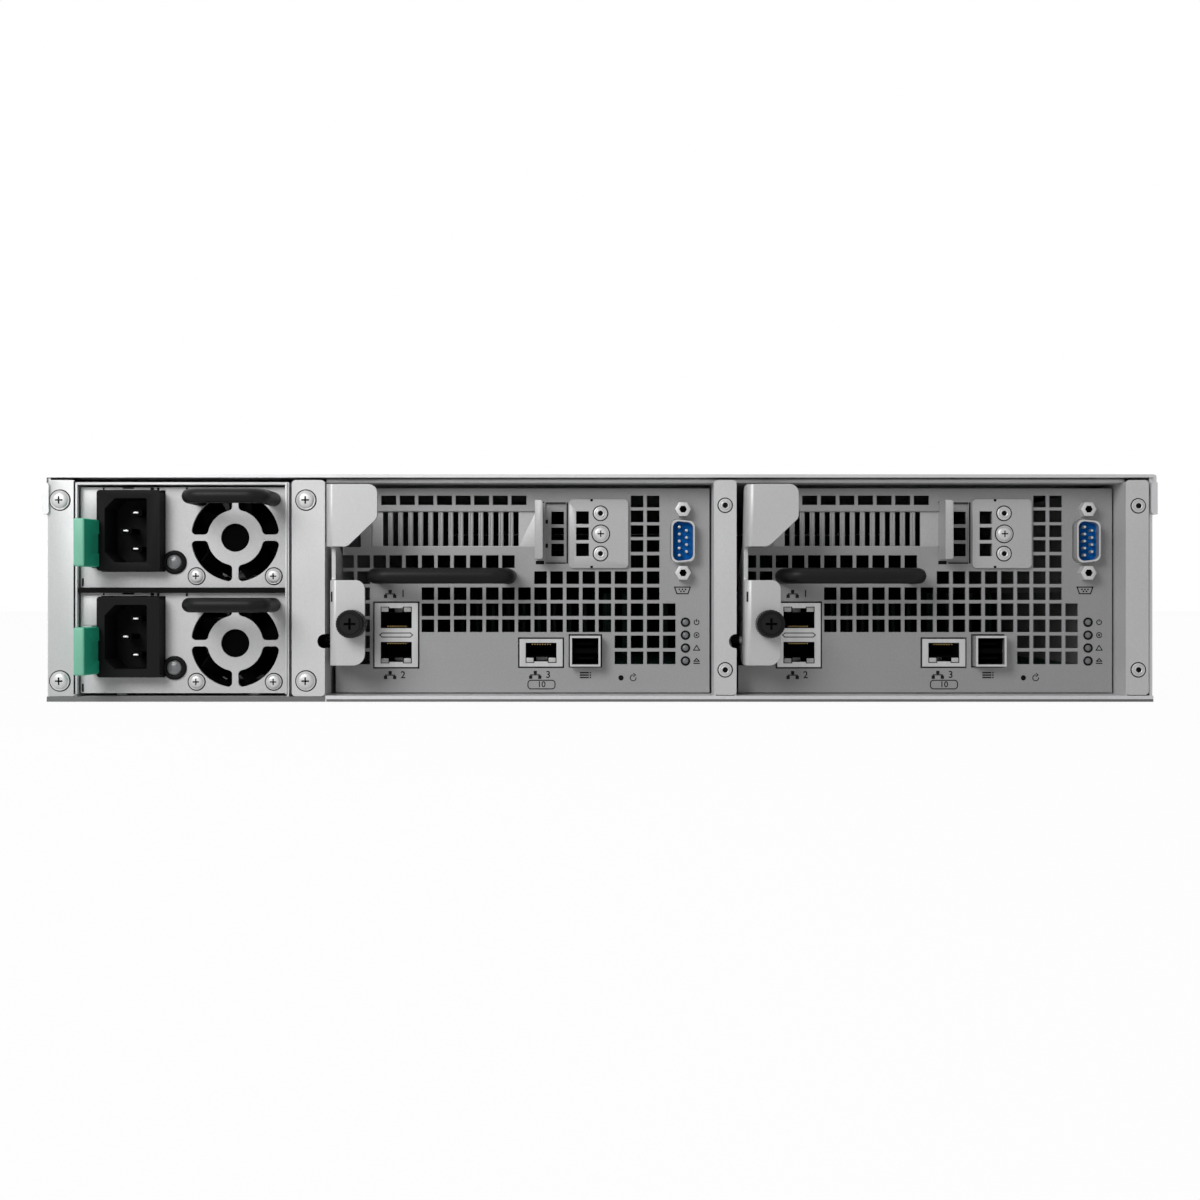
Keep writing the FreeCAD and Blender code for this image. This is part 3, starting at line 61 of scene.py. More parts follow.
def startMaterial(name, colour, metal, rough):
    material = bpy.data.materials.new(name)
    material.use_nodes = True
    tree = material.node_tree
    shader = tree.nodes["Principled BSDF"]
    shader.inputs["Base Color"].default_value = (*colour, 1)
    shader.inputs["Metallic"].default_value = metal
    shader.inputs["Roughness"].default_value = rough
    place = tree.nodes.new("ShaderNodeTexCoord")
    return material, tree, shader, place.outputs["Object"]


def addNode(tree, kind, numbers, links):
    node = tree.nodes.new("ShaderNode" + kind)
    for name, value in numbers.items():
        node.inputs[name].default_value = value
    for name, source in links.items():
        tree.links.new(source, node.inputs[name])
    return node


def stretched(tree, source, scale):
    return addNode(tree, "Mapping", {"Scale": scale}, {"Vector": source}).outputs["Vector"]


def noise(tree, source, scale, detail=3.0):
    return addNode(tree, "TexNoise", {"Scale": scale, "Detail": detail}, {"Vector": source}).outputs["Fac"]


def shades(tree, factor, colour, spread):
    ramp = addNode(tree, "ValToRGB", {}, {"Fac": factor})
    darker, paler = ramp.color_ramp.elements
    darker.position, paler.position = 0.3, 0.7
    darker.color = (*[c * (1 - spread) for c in colour], 1)
    paler.color = (*[min(1, c * (1 + spread)) for c in colour], 1)
    return ramp.outputs["Color"]


def multiplied(tree, first, second):
    mix = tree.nodes.new("ShaderNodeMix")
    mix.data_type = "RGBA"
    mix.blend_type = "MULTIPLY"
    mix.inputs["Factor"].default_value = 1
    tree.links.new(first, mix.inputs["A"])
    tree.links.new(second, mix.inputs["B"])
    return mix.outputs["Result"]


def between(tree, factor, low, high):
    return addNode(tree, "MapRange", {"To Min": low, "To Max": high}, {"Value": factor}).outputs["Result"]


def raised(tree, shader, height, strength):
    bump = addNode(tree, "Bump", {"Strength": strength, "Distance": 0.1 * mm}, {"Height": height})
    tree.links.new(bump.outputs["Normal"], shader.inputs["Normal"])


def sheetMetal(name, values):
    values = {"metal": 0.2, "rough": 0.5, "cloudScale": 16, "cloud": 0.04, "grainScale": 1400, "fleck": 0.07,
              "bump": 0.14, **values}
    material, tree, shader, place = startMaterial(name, values["colour"], values["metal"], values["rough"])
    clouds = shades(tree, noise(tree, place, values["cloudScale"]), values["colour"], values["cloud"])
    fleck = noise(tree, place, values["grainScale"], 2.0)
    flecks = shades(tree, fleck, (1.0, 1.0, 1.0), values["fleck"])
    tree.links.new(multiplied(tree, clouds, flecks), shader.inputs["Base Color"])
    rubbed = noise(tree, stretched(tree, place, (1.0, 0.12, 1.0)), values["grainScale"] * 0.2)
    tree.links.new(between(tree, rubbed, values["rough"] - 0.08, values["rough"] + 0.08), shader.inputs["Roughness"])
    raised(tree, shader, fleck, values["bump"])
    return material


def mouldedPlastic(name, values):
    values = {"cloud": 0.1, "grainScale": 1500, "bump": 0.08, "shine": 0.1, **values}
    material, tree, shader, place = startMaterial(name, values["colour"], 0.0, values["rough"])
    grain = noise(tree, place, values["grainScale"], 2.0)
    tree.links.new(shades(tree, noise(tree, place, 60), values["colour"], values["cloud"]), shader.inputs["Base Color"])
    tree.links.new(between(tree, grain, values["rough"] - 0.06, values["rough"] + 0.06), shader.inputs["Roughness"])
    raised(tree, shader, grain, values["bump"])
    shader.inputs["Specular IOR Level"].default_value = values["shine"]
    return material


def platedMetal(name, values):
    material, tree, shader, place = startMaterial(name, values["colour"], values["metal"], values["rough"])
    scratches = noise(tree, stretched(tree, place, (1.0, 1.0, 0.1)), values["grainScale"])
    tree.links.new(shades(tree, scratches, values["colour"], 0.06), shader.inputs["Base Color"])
    tree.links.new(between(tree, scratches, values["rough"] - 0.05, values["rough"] + 0.1), shader.inputs["Roughness"])
    raised(tree, shader, scratches, values["bump"])
    return material


def printedBoard(name, values):
    colour = values["colour"]
    material, tree, shader, place = startMaterial(name, colour, 0.0, values["rough"])
    traces = addNode(tree, "TexBrick", {
        "Scale": values["traceScale"], "Mortar Size": 0.035, "Color1": (*colour, 1),
        "Color2": (*[c * 0.8 for c in colour], 1),
        "Mortar": (*[min(1, c * 1.9) for c in colour], 1)}, {"Vector": place})
    tree.links.new(traces.outputs["Color"], shader.inputs["Base Color"])
    raised(tree, shader, noise(tree, place, 900), 0.05)
    shader.inputs["Specular IOR Level"].default_value = 0.2
    return material


print("materials")
stripSteel = sheetMetal("strip_steel", {
    "colour": (0.60, 0.60, 0.605), "rough": 0.48, "cloudScale": 14, "grainScale": 1300, "fleck": 0.06, "bump": 0.12})
faceSteel = sheetMetal("face_steel", {
    "colour": (0.345, 0.345, 0.35), "metal": 0.1, "rough": 0.52, "cloudScale": 12, "cloud": 0.05, "fleck": 0.08,
    "bump": 0.15})
psuSteel = sheetMetal("psu_steel", {"colour": (0.52, 0.52, 0.525), "cloudScale": 18, "cloud": 0.05})
leverSteel = sheetMetal("lever_steel", {
    "colour": (0.54, 0.54, 0.545), "rough": 0.42, "cloudScale": 20, "cloud": 0.03, "grainScale": 1300, "fleck": 0.05,
    "bump": 0.10})
coverSteel = sheetMetal("cover_steel", {
    "colour": (0.66, 0.66, 0.67), "metal": 0.35, "rough": 0.40, "cloudScale": 9, "cloud": 0.015, "grainScale": 900,
    "fleck": 0.05, "bump": 0.10})
plateSteel = sheetMetal("plate_steel", {"colour": (0.46, 0.46, 0.465), "metal": 0.25, "rough": 0.48})
# a dark steel for the lower base edge: painted shade under the lit top of the edge
edgeShadeSteel = sheetMetal("edge_shade_steel", {"colour": (0.15, 0.15, 0.153), "metal": 0.1})
blackSteel = sheetMetal("black_steel", {
    "colour": (0.022, 0.022, 0.024), "metal": 0.1, "cloudScale": 20, "cloud": 0.10, "grainScale": 1600, "fleck": 0.12,
    "bump": 0.20})
inletPlastic = mouldedPlastic("inlet_plastic", {
    "colour": (0.006, 0.006, 0.0065), "rough": 0.62, "cloud": 0.15, "grainScale": 1800, "bump": 0.25})
darkPlastic = mouldedPlastic("dark_plastic", {
    "colour": (0.0015, 0.0015, 0.0018), "rough": 0.8, "bump": 0.15, "shine": 0.03})
gripRubber = mouldedPlastic("grip_rubber", {
    "colour": (0.007, 0.007, 0.0075), "rough": 0.42, "cloud": 0.12, "grainScale": 1200, "shine": 0.14})
latchGreen = mouldedPlastic("latch_green", {
    "colour": (0.028, 0.52, 0.31), "rough": 0.42, "cloud": 0.05, "bump": 0.10, "shine": 0.3})
# a paler copy of the latch green: a painted highlight where the lamp catches the nose
noseHighlight = mouldedPlastic("nose_painted_highlight", {"colour": (0.19, 0.50, 0.36), "rough": 0.38, "cloud": 0.05, "shine": 0.4})
insertBlue = mouldedPlastic("insert_blue", {
    "colour": (0.0, 0.105, 0.40), "rough": 0.5, "cloud": 0.12, "grainScale": 1200})
lampGrey = mouldedPlastic("lamp_grey", {
    "colour": (0.16, 0.165, 0.17), "rough": 0.22, "cloud": 0.08, "grainScale": 700, "bump": 0.03, "shine": 0.6})
windowWhite = mouldedPlastic("window_white", {
    "colour": (0.55, 0.55, 0.54), "rough": 0.25, "cloud": 0.05, "grainScale": 700, "bump": 0.03, "shine": 0.6})
# painted shade: this near-black stands for the shadow inside cross slots, bores, holes, notches and gaps, and round the
# screw and rivet heads
recessShade = mouldedPlastic("recess_painted_shade", {"colour": (0.004, 0.004, 0.004), "rough": 0.8, "cloud": 0.2, "bump": 0.05})
markInk = mouldedPlastic("mark_ink", {
    "colour": (0.018, 0.018, 0.019), "rough": 0.75, "cloud": 0.2, "grainScale": 2500, "bump": 0.05, "shine": 0.2})
paleInk = mouldedPlastic("pale_ink", {
    "colour": (0.55, 0.55, 0.55), "rough": 0.7, "grainScale": 2500, "bump": 0.05, "shine": 0.2})
bezelBlack = mouldedPlastic("bezel_black", {"colour": (0.020, 0.020, 0.022), "rough": 0.48, "bump": 0.22, "shine": 0.4})
nickelPlate = platedMetal("nickel_plate", {
    "colour": (0.50, 0.50, 0.50), "metal": 0.6, "rough": 0.32, "grainScale": 500, "bump": 0.02})
screwPlate = platedMetal("screw_plate", {
    "colour": (0.60, 0.60, 0.60), "metal": 0.3, "rough": 0.36, "grainScale": 900, "bump": 0.03})
goldPlate = platedMetal("gold_plate", {
    "colour": (0.75, 0.52, 0.20), "metal": 0.95, "rough": 0.28, "grainScale": 900, "bump": 0.05})
boardGreen = printedBoard("board_green", {"colour": (0.006, 0.030, 0.020), "rough": 0.45, "traceScale": 90})


# tools that make pieces

def addObject(name, data):
    thing = bpy.data.objects.new(name, data)
    bpy.context.scene.collection.objects.link(thing)
    return thing


def savedMesh(bm, name, materials=()):
    mesh = bpy.data.meshes.new(name)
    bm.to_mesh(mesh)
    bm.free()
    for material in materials:
        mesh.materials.append(material)
    return mesh


def finishPiece(bm, name, materials, body, smoothAngle=40):
    bmesh.ops.remove_doubles(bm, verts=bm.verts, dist=0.002)
    bmesh.ops.recalc_face_normals(bm, faces=bm.faces)
    bmesh.ops.scale(bm, vec=(mm, mm, mm), verts=bm.verts)
    mesh = savedMesh(bm, name, materials)
    mesh.shade_smooth()
    mesh.set_sharp_from_angle(angle=math.radians(smoothAngle))
    piece = addObject(name, mesh)
    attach(piece, body)
    return piece


def addCube(bm, left, right, near, far, bottom, top):
    place = Matrix.Translation(((left + right) / 2, (near + far) / 2, (bottom + top) / 2))
    size = Matrix.Diagonal((right - left, far - near, top - bottom, 1))
    return bmesh.ops.create_cube(bm, size=1, matrix=place @ size)["verts"]


def rounded(bm, geom, width, segments, affect="EDGES"):
    bmesh.ops.bevel(bm, geom=geom, offset=width, segments=segments, profile=0.5, affect=affect, material=-1)


def addBlock(bm, left, right, near, far, bottom, top, bevel=0.0, segments=2, material=0):
    verts = addCube(bm, left, right, near, far, bottom, top)
    edges = list({edge for vert in verts for edge in vert.link_edges})
    for face in {face for vert in verts for face in vert.link_faces}:
        face.material_index = material
    if bevel:
        rounded(bm, edges, bevel, segments)


def addPad(bm, x, z, wide, high, near, far, bevel=0.0, segments=2, material=0):
    addBlock(bm, x - wide / 2, x + wide / 2, near, far, z - high / 2, z + high / 2, bevel, segments, material)


def addBlocks(bm, spans, near, far, x0=0.0, z0=0.0):
    for left, right, bottom, top in spans:
        addBlock(bm, x0 + left, x0 + right, near, far, z0 + bottom, z0 + top)


def turned(profile, steps=32):
    bm = bmesh.new()
    verts = [bm.verts.new((radius, 0, height)) for radius, height in profile]
    edges = [bm.edges.new(pair) for pair in zip(verts, verts[1:])]
    bmesh.ops.spin(bm, geom=verts + edges, cent=(0, 0, 0), axis=(0, 0, 1), angle=2 * math.pi, steps=steps,
                   use_merge=True)
    bmesh.ops.remove_doubles(bm, verts=bm.verts, dist=0.0005)
    bmesh.ops.recalc_face_normals(bm, faces=bm.faces)
    return savedMesh(bm, "turned")


def tube(inner, outer, low, high, steps):
    return turned([(inner, low), (outer, low), (outer, high), (inner, high), (inner, low)], steps)


def disc(radius, low, high, steps):
    return turned([(0, low), (radius, low), (radius, high), (0, high)], steps)


def vertsOf(items):
    return [item for item in items if isinstance(item, bmesh.types.BMVert)]


def edgesOf(items):
    return [item for item in items if isinstance(item, bmesh.types.BMEdge)]


def facesOf(items):
    return [item for item in items if isinstance(item, bmesh.types.BMFace)]


def stamp(bm, mesh, place, material=None):
    start = len(bm.verts)
    faceStart = len(bm.faces)
    bm.from_mesh(mesh)
    bm.verts.ensure_lookup_table()
    bm.faces.ensure_lookup_table()
    bmesh.ops.transform(bm, matrix=place, verts=bm.verts[start:])
    if material is not None:
        for face in bm.faces[faceStart:]:
            face.material_index = material


def makeStamped(name, meshes, places, materials, body, smoothAngle=40):
    bm = bmesh.new()
    for place in places:
        for index, mesh in enumerate(meshes):
            stamp(bm, mesh, place, index)
    finishPiece(bm, name, materials, body, smoothAngle)


def carved(mesh, cutter):
    target, tool = addObject("target", mesh), addObject("tool", cutter)
    cut = target.modifiers.new("cut", "BOOLEAN")
    cut.operation = "DIFFERENCE"
    cut.solver = "EXACT"
    cut.material_mode = "TRANSFER"
    cut.object = tool
    result = bpy.data.meshes.new_from_object(target.evaluated_get(bpy.context.evaluated_depsgraph_get()))
    for thing in (target, tool):
        bpy.data.objects.remove(thing)
    return result


def at(x, y, z, turn=outward):
    return Matrix.Translation((x, y, z)) @ turn


# camera, floor and light; shown is 1 for what the camera sees, also in a mirror or through glass, and 0 for the rest

def shown(tree):
    path = addNode(tree, "LightPath", {}, {})
    total = path.outputs["Is Camera Ray"]
    for ray in ("Is Glossy Ray", "Is Transmission Ray"):
        larger = addNode(tree, "Math", {}, {0: total, 1: path.outputs[ray]})
        larger.operation = "MAXIMUM"
        total = larger.outputs["Value"]
    return total


def makeStudio():
    values = {
        "cameraAt": (0.0, -947.2, 39.4), "fieldOfView": 42.2, "sensor": 36,
        "floorSize": 9.0, "floorDrop": 0.0002, "floorColour": (0.55, 0.55, 0.55), "floorRough": 0.9, "floorWhite": 0.97,
        "fillLight": 0.12, "lampsAim": (0, 0, 0.04),
        "lamps": (
            {"name": "near_left", "at": (-0.40, -0.95, 0.42), "size": 0.45, "power": 4.5},
            {"name": "side_fill", "at": (2.3, -1.2, 0.8), "size": 1.6, "power": 2},
            {"name": "high_soft", "at": (-0.3, 0.4, 2.4), "size": 2.8, "power": 16},
            {"name": "far_side", "at": (0.8, 2.6, 1.3), "size": 2.4, "power": 18},
        ),
    }
    data = bpy.data.cameras.new("rear_view")
    data.sensor_width = values["sensor"]
    data.angle = math.radians(values["fieldOfView"])
    camera = addObject("rear_view", data)
    camera.location = [c * mm for c in values["cameraAt"]]
    camera.rotation_euler = (math.radians(90), 0, 0)
    bpy.context.scene.camera = camera

    floor = bmesh.new()
    bmesh.ops.create_grid(floor, x_segments=1, y_segments=1, size=values["floorSize"] / 2)
    material, tree, shader, _ = startMaterial("pale_floor", values["floorColour"], 0.0, values["floorRough"])
    ground = addObject("floor", savedMesh(floor, "floor", [material]))
    ground.location = (0, 0, -values["floorDrop"])
    glow = addNode(tree, "Emission", {}, {})
    seen = addNode(tree, "Math", {1: values["floorWhite"]}, {0: shown(tree)})
    seen.operation = "MULTIPLY"
    mix = addNode(tree, "MixShader", {}, {
        "Fac": seen.outputs["Value"], 1: shader.outputs["BSDF"], 2: glow.outputs["Emission"]})
    tree.links.new(mix.outputs["Shader"], tree.nodes["Material Output"].inputs["Surface"])

    world = bpy.data.worlds.new("studio")
    bpy.context.scene.world = world
    world.use_nodes = True
    sky = world.node_tree
    background = sky.nodes["Background"]
    background.inputs["Color"].default_value = (1, 1, 1, 1)
    sky.links.new(between(sky, shown(sky), values["fillLight"], 1.0), background.inputs["Strength"])

    for lamp in values["lamps"]:
        light = bpy.data.lights.new(lamp["name"], "AREA")
        light.shape = "DISK"
        light.size = lamp["size"]
        light.energy = lamp["power"]
        holder = addObject(lamp["name"], light)
        holder.location = lamp["at"]
        aim = Vector(values["lampsAim"]) - Vector(lamp["at"])
        holder.rotation_euler = aim.to_track_quat("-Z", "Y").to_euler()
    bpy.context.scene.view_settings.view_transform = "Standard"


makeStudio()
print("studio")


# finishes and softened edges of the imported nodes

def dressNodes():
    values = {
        "chassis_base": (coverSteel, 0.0), "top_cover": (coverSteel, 0.0), "psu_cage": (stripSteel, 0.2),
        "bay_frame": (stripSteel, 0.2), "drive_cage": (coverSteel, 0.0), "backplane": (boardGreen, 0.0),
        "power_board": (boardGreen, 0.0), "rack_ear_left": (blackSteel, 0.3), "rack_ear_right": (blackSteel, 0.3),
        "power_button": (lampGrey, 0.0),
        "case": (psuSteel, 0.18), "inlet": (inletPlastic, 0.4), "handle": (gripRubber, 0.0), "latch": (latchGreen, 0.5),
        "rotor": (darkPlastic, 0.0), "tray": (faceSteel, 0.15), "board": (boardGreen, 0.0), "ports": (nickelPlate, 0.0),
        "slot_cover": (plateSteel, 0.18), "lever": (leverSteel, 0.2), "thumbscrew": (gripRubber, 0.0),
    }
    for name, node in nodes.items():
        kind = name
        for prefix in ("psu_lower_", "psu_upper_", "controller_a_", "controller_b_"):
            kind = kind.replace(prefix, "")
        if name.startswith("drive_tray"):
            material, soft = bezelBlack, 0.25
        elif name.startswith("tray_lever"):
            material, soft = bezelBlack, 0.35
        else:
            material, soft = values[kind]
        node.data.materials.clear()
        node.data.materials.append(material)
        if soft:
            softenEdges(node, soft)


def softenEdges(node, width):
    weld = node.modifiers.new("weld", "WELD")
    weld.merge_threshold = 0.00001
    flats = node.modifiers.new("flats", "DECIMATE")
    flats.decimate_type = "DISSOLVE"
    flats.angle_limit = math.radians(1)
    edge = node.modifiers.new("edge", "BEVEL")
    edge.width = width * mm
    edge.segments = 2
    edge.limit_method = "ANGLE"
    edge.angle_limit = math.radians(50)
    edge.harden_normals = True


dressNodes()
print("finishes on the nodes")


# small fasteners, each modelled once about +Z in millimetres and then set in place

def crossCutter(arm, width, top, depth, material):
    bm = bmesh.new()
    place = Matrix.Translation((0, 0, top - depth / 2 + 0.5))
    bmesh.ops.create_cube(bm, size=1, matrix=place @ Matrix.Diagonal((width, width, depth + 1, 1)))
    bm.normal_update()
    sides = [face for face in bm.faces if abs(face.normal.z) < 0.5]
    arms = bmesh.ops.extrude_discrete_faces(bm, faces=sides)["faces"]
    bm.normal_update()
    for face in arms:
        bmesh.ops.translate(bm, vec=face.normal * (arm - width / 2), verts=face.verts)
    bottom = [vert for vert in bm.verts if vert.co.z < top - depth + 0.01]
    bmesh.ops.scale(bm, vec=(0.6, 0.6, 1), verts=bottom)
    return savedMesh(bm, "cross", [material])


def crossScrew(values):
    radius, height = values["radius"], values["height"]
    profile = [(0, -0.2), (radius * 0.97, -0.2), (radius, 0.0), (radius, 0.22 * height), (radius * 0.95, 0.36 * height),
               (radius * 0.89, 0.34 * height), (radius * 0.85, 0.5 * height), (radius * 0.74, 0.8 * height),
               (radius * 0.5, 0.97 * height), (0, height)]
    head = turned(profile, values["steps"])
    head.materials.append(screwPlate)
    # the cross slot takes the dark recess colour: painted shade in the recess
    cutter = crossCutter(radius * values["arm"], radius * values["slot"], height, values["depth"], recessShade)
    return carved(head, cutter)


def hollowRivet(values):
    r = values["radius"]
    profile = [(0, -0.2), (r, -0.2), (r, 0.25), (r * 0.93, 0.45), (r * 0.78, 0.5), (r * 0.72, 0.3), (r * 0.66, 0.3),
               (r * 0.6, 0.62), (r * 0.5, 0.72), (values["bore"], 0.55), (values["bore"], 0.05), (0, 0.05)]
    return turned(profile, values["steps"])


# a dark ring round each screw and rivet head: a painted shadow where the head sits on the sheet
def seatShadowRing(radius):
    return tube(radius * 0.96, radius + 0.42, -0.1, 0.03, 32)


def makeScrews(name, values, places, body):
    screw, ring = crossScrew(values), seatShadowRing(values["radius"])
    bm = bmesh.new()
    for place in places:
        stamp(bm, screw, place)
        stamp(bm, ring, place, 1)
    finishPiece(bm, name, [screwPlate, recessShade], body)


def makeRivets(name, values, places, plane, body):
    rivet, ring = hollowRivet(values), seatShadowRing(values["radius"])
    bm = bmesh.new()
    for x, z in places:
        stamp(bm, rivet, at(x, plane, z), 0)
        stamp(bm, ring, at(x, plane, z), 1)
    for face in bm.faces:                                     # the bores and the rings are dark: painted shade in the bores and a painted shadow ring round each head
        middle = face.calc_center_median()
        if min(math.hypot(middle.x - x, middle.z - z) for x, z in places) < values["bore"] * 1.02:
            face.material_index = 1
    finishPiece(bm, name, [screwPlate, recessShade], body)


def makeStripFasteners():
    values = {
        "screw": {"radius": 3.75, "height": 1.5, "arm": 0.50, "slot": 0.20, "depth": 0.9, "steps": 40},
        "screwPlaces": [(x, z) for x in (-208.8, -113.7) for z in (78.0, 8.1)],
        "rivet": {"radius": 2.6, "bore": 1.05, "steps": 32},
        "rivetPlaces": [(48.4, 76.0), (48.4, 12.4), (208.1, 75.8), (208.1, 12.4)],
    }
    places = [at(x, rearPlane, z) for x, z in values["screwPlaces"]]
    makeScrews("strip_screws", values["screw"], places, "chassis")
    makeRivets("strip_rivets", values["rivet"], values["rivetPlaces"], rearPlane, "chassis")


# handles, and the latches, lamps and fans of the supplies

def drawnOut(bm, edges, vector):
    grown = bmesh.ops.extrude_edge_only(bm, edges=edges)["geom"]
    verts = vertsOf(grown)
    bmesh.ops.translate(bm, vec=vector, verts=verts)
    return [edge for edge in edgesOf(grown) if all(vert in verts for vert in edge.verts)]


def bentRound(bm, edges, centre, axis, turn, steps):
    verts = list({vert for edge in edges for vert in edge.verts})
    swept = bmesh.ops.spin(bm, geom=verts + edges, cent=centre, axis=axis, angle=math.radians(turn), steps=steps)
    return edgesOf(swept["geom_last"])


def pullGrip(body, x0, z0, face, values):
    radius, bend, height = values["radius"], values["bend"], z0 + values["height"]
    low, high, bar = x0 + values["left"] + radius, x0 + values["right"] - radius, face - values["reach"]
    bm = bmesh.new()
    start = bmesh.ops.create_circle(bm, cap_ends=False, radius=radius, segments=values["segments"],
                                    matrix=at(low, face + values["sink"], height))
    edges = list({edge for vert in start["verts"] for edge in vert.link_edges})
    edges = drawnOut(bm, edges, (0, bar + bend - face - values["sink"], 0))
    edges = bentRound(bm, edges, (low + bend, bar + bend, height), (0, 0, 1), 90, values["steps"])
    edges = drawnOut(bm, edges, (high - low - 2 * bend, 0, 0))
    edges = bentRound(bm, edges, (high - bend, bar + bend, height), (0, 0, 1), 90, values["steps"])
    drawnOut(bm, edges, (0, face + values["sink"] - bar - bend, 0))
    bmesh.ops.remove_doubles(bm, verts=bm.verts, dist=0.001)
    bmesh.ops.holes_fill(bm, edges=[edge for edge in bm.edges if edge.is_boundary], sides=0)
    grip = finishPiece(bm, body + "_grip", [gripRubber], body, 50)
    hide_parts(body + "_handle")


def releaseTab(name, x0, z0, body):
    values = {"left": 4.5, "bottom": 7.8, "height": 18.1, "tip": 22.2, "padEnd": 7.8, "noseWidth": 4.1,
              "rootWidth": 5.4, "blade": 2.0, "inside": 27.0, "round": 0.75, "ledgeLength": 6.2, "ledgeDeep": 0.55,
              "ledgeLow": 5.0, "ledgeHigh": 5.2, "nose": 0.5, "barrel": (1.5, 2.5), "barrelAt": 22.0}
    face, long = supplies["face"], values["height"]
    left, tip, rear = x0 + values["left"], face - values["tip"], face - values["padEnd"]
    root, blade, end = left + values["rootWidth"], left + values["blade"], face + values["inside"]
    low = z0 + values["bottom"]
    bm = bmesh.new()
    corners = [(left, tip), (left + values["noseWidth"], tip), (root, rear), (blade, rear), (blade, end), (left, end)]
    outline = bm.faces.new([bm.verts.new((x, y, low)) for x, y in corners])
    grown = bmesh.ops.extrude_face_region(bm, geom=[outline])["geom"]
    bmesh.ops.translate(bm, vec=(0, 0, long), verts=vertsOf(grown))
    bmesh.ops.recalc_face_normals(bm, faces=bm.faces)
    rounded(bm, [edge for edge in bm.edges if edge.calc_length() > values["blade"] + 0.1], values["round"], 4)
    cutter = bmesh.new()
    addBlock(cutter, root - values["ledgeDeep"], root + 3, rear - values["ledgeLength"], rear + 1,
             low + values["ledgeLow"], low + long - values["ledgeHigh"], 0.4)
    tab = carved(savedMesh(bm, "tab", [latchGreen]), savedMesh(cutter, "ledge", [latchGreen]))
    bm = bmesh.new()
    stamp(bm, tab, Matrix.Identity(4), 0)
    barrel = tube(*values["barrel"], 0, long, 32)
    stamp(bm, barrel, Matrix.Translation((left + values["blade"] / 2, face + values["barrelAt"], low)), 0)
    # faces at the nose take the paler green: a painted highlight
    for side in bm.faces:
        if side.calc_center_median().y < tip + values["nose"]:
            side.material_index = 1
    piece = finishPiece(bm, name, [latchGreen, noseHighlight], body, 45)
    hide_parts(body)


def makeSupplyPieces():
    values = {
        "grip": {"left": 44.1, "right": 77.8, "height": 34.3, "radius": 2.8, "reach": 22.2, "bend": 5.2, "sink": 0.3,
                 "segments": 28, "steps": 10},
        "lampAt": (36.6, 9.8), "fanAt": (60.1, 19.4), "fanScrewStep": 15.0,
        "lampRing": ((2.7, 0.2), (2.7, -0.2), (4.65, -0.2), (4.65, 0.5), (4.3, 1.1), (3.7, 1.35), (3.15, 1.15),
                     (2.7, 0.2)),
        "lampDome": ((0, -0.2), (3.0, -0.2), (3.0, 0.5), (2.75, 1.0), (2.35, 1.35), (1.75, 1.5), (1.6, 1.4), (1.2, 1.5),
                     (0, 1.6)),
        "fanScrew": {"radius": 3.1, "height": 1.3, "arm": 0.52, "slot": 0.21, "depth": 0.8, "steps": 36},
        "bladesAt": ((22.2, 28.95), (22.2, 14.95), (18.3, 21.95)),
        "bladeSize": (4.0, 2.0, 11.0), "bladeEnd": 9.0, "bladeSkin": 0.04, "bladeTip": (2.1, 0.75, 0.8),
    }
    lamp = [turned(values[key], 40) for key in ("lampRing", "lampDome")]
    for name, z0 in zip(supplies["names"], supplies["bottoms"]):
        body = "psu_" + name
        x0, face = supplies["left"], supplies["face"]
        pullGrip(body, x0, z0, face, values["grip"])
        releaseTab(body + "_tab", x0, z0, body + "_latch")
        fanX, fanZ, step = x0 + values["fanAt"][0], z0 + values["fanAt"][1], values["fanScrewStep"]
        places = [at(fanX + across, face, fanZ - step) for across in (-step, step)]
        makeScrews(body + "_fan_screws", values["fanScrew"], places, body)
        place = at(x0 + values["lampAt"][0], face, z0 + values["lampAt"][1])
        makeStamped(body + "_lamp", lamp, [place], [inletPlastic, lampGrey], body, 35)
        bm = bmesh.new()
        wide, thick, long = values["bladeSize"]
        skin, end = values["bladeSkin"], face + values["bladeEnd"]
        tipWide, tipThick, tipLong = values["bladeTip"]
        for x, z in values["bladesAt"]:
            addPad(bm, x0 + x, z0 + z, wide + 2 * skin, thick + 2 * skin, end - long - skin, end, 0.25, 2, 1)
            addPad(bm, x0 + x, z0 + z, tipWide, tipThick, end - long - tipLong, end - long + 0.5, 0.2)
        finishPiece(bm, body + "_blades", [nickelPlate, darkPlastic], body)
        fanDepths(body, fanX, face, fanZ)
        supplyFlanges(body, x0, z0, face)


def fanDepths(body, x, face, z):
    values = {"lining": (17.16, 16.9), "start": 1.05, "end": 20.9, "seat": 8.1, "seatAt": 17.5, "skin": 0.25,
              "arm": 2.2, "armEnd": 17.0, "armTurns": (90, 210, 330)}
    outer, inner = values["lining"]
    bm = bmesh.new()
    stamp(bm, tube(inner, outer, 0, values["start"] - values["end"], 48), at(x, face + values["start"], z), 0)
    stamp(bm, disc(values["seat"], 0, -values["skin"], 32), at(x, face + values["seatAt"], z), 0)
    middle = (values["seat"] + values["armEnd"]) / 2 - 0.2
    for turn in values["armTurns"]:
        place = at(x, face + values["seatAt"] + values["skin"] / 2, z) @ Matrix.Rotation(math.radians(turn), 4, "Z")
        size = (values["armEnd"] - values["seat"] + 0.4, values["arm"], values["skin"], 1)
        bmesh.ops.create_cube(bm, size=1, matrix=place @ Matrix.Translation((middle, 0, 0)) @ Matrix.Diagonal(size))
    finishPiece(bm, body + "_fan_lining", [darkPlastic], body)


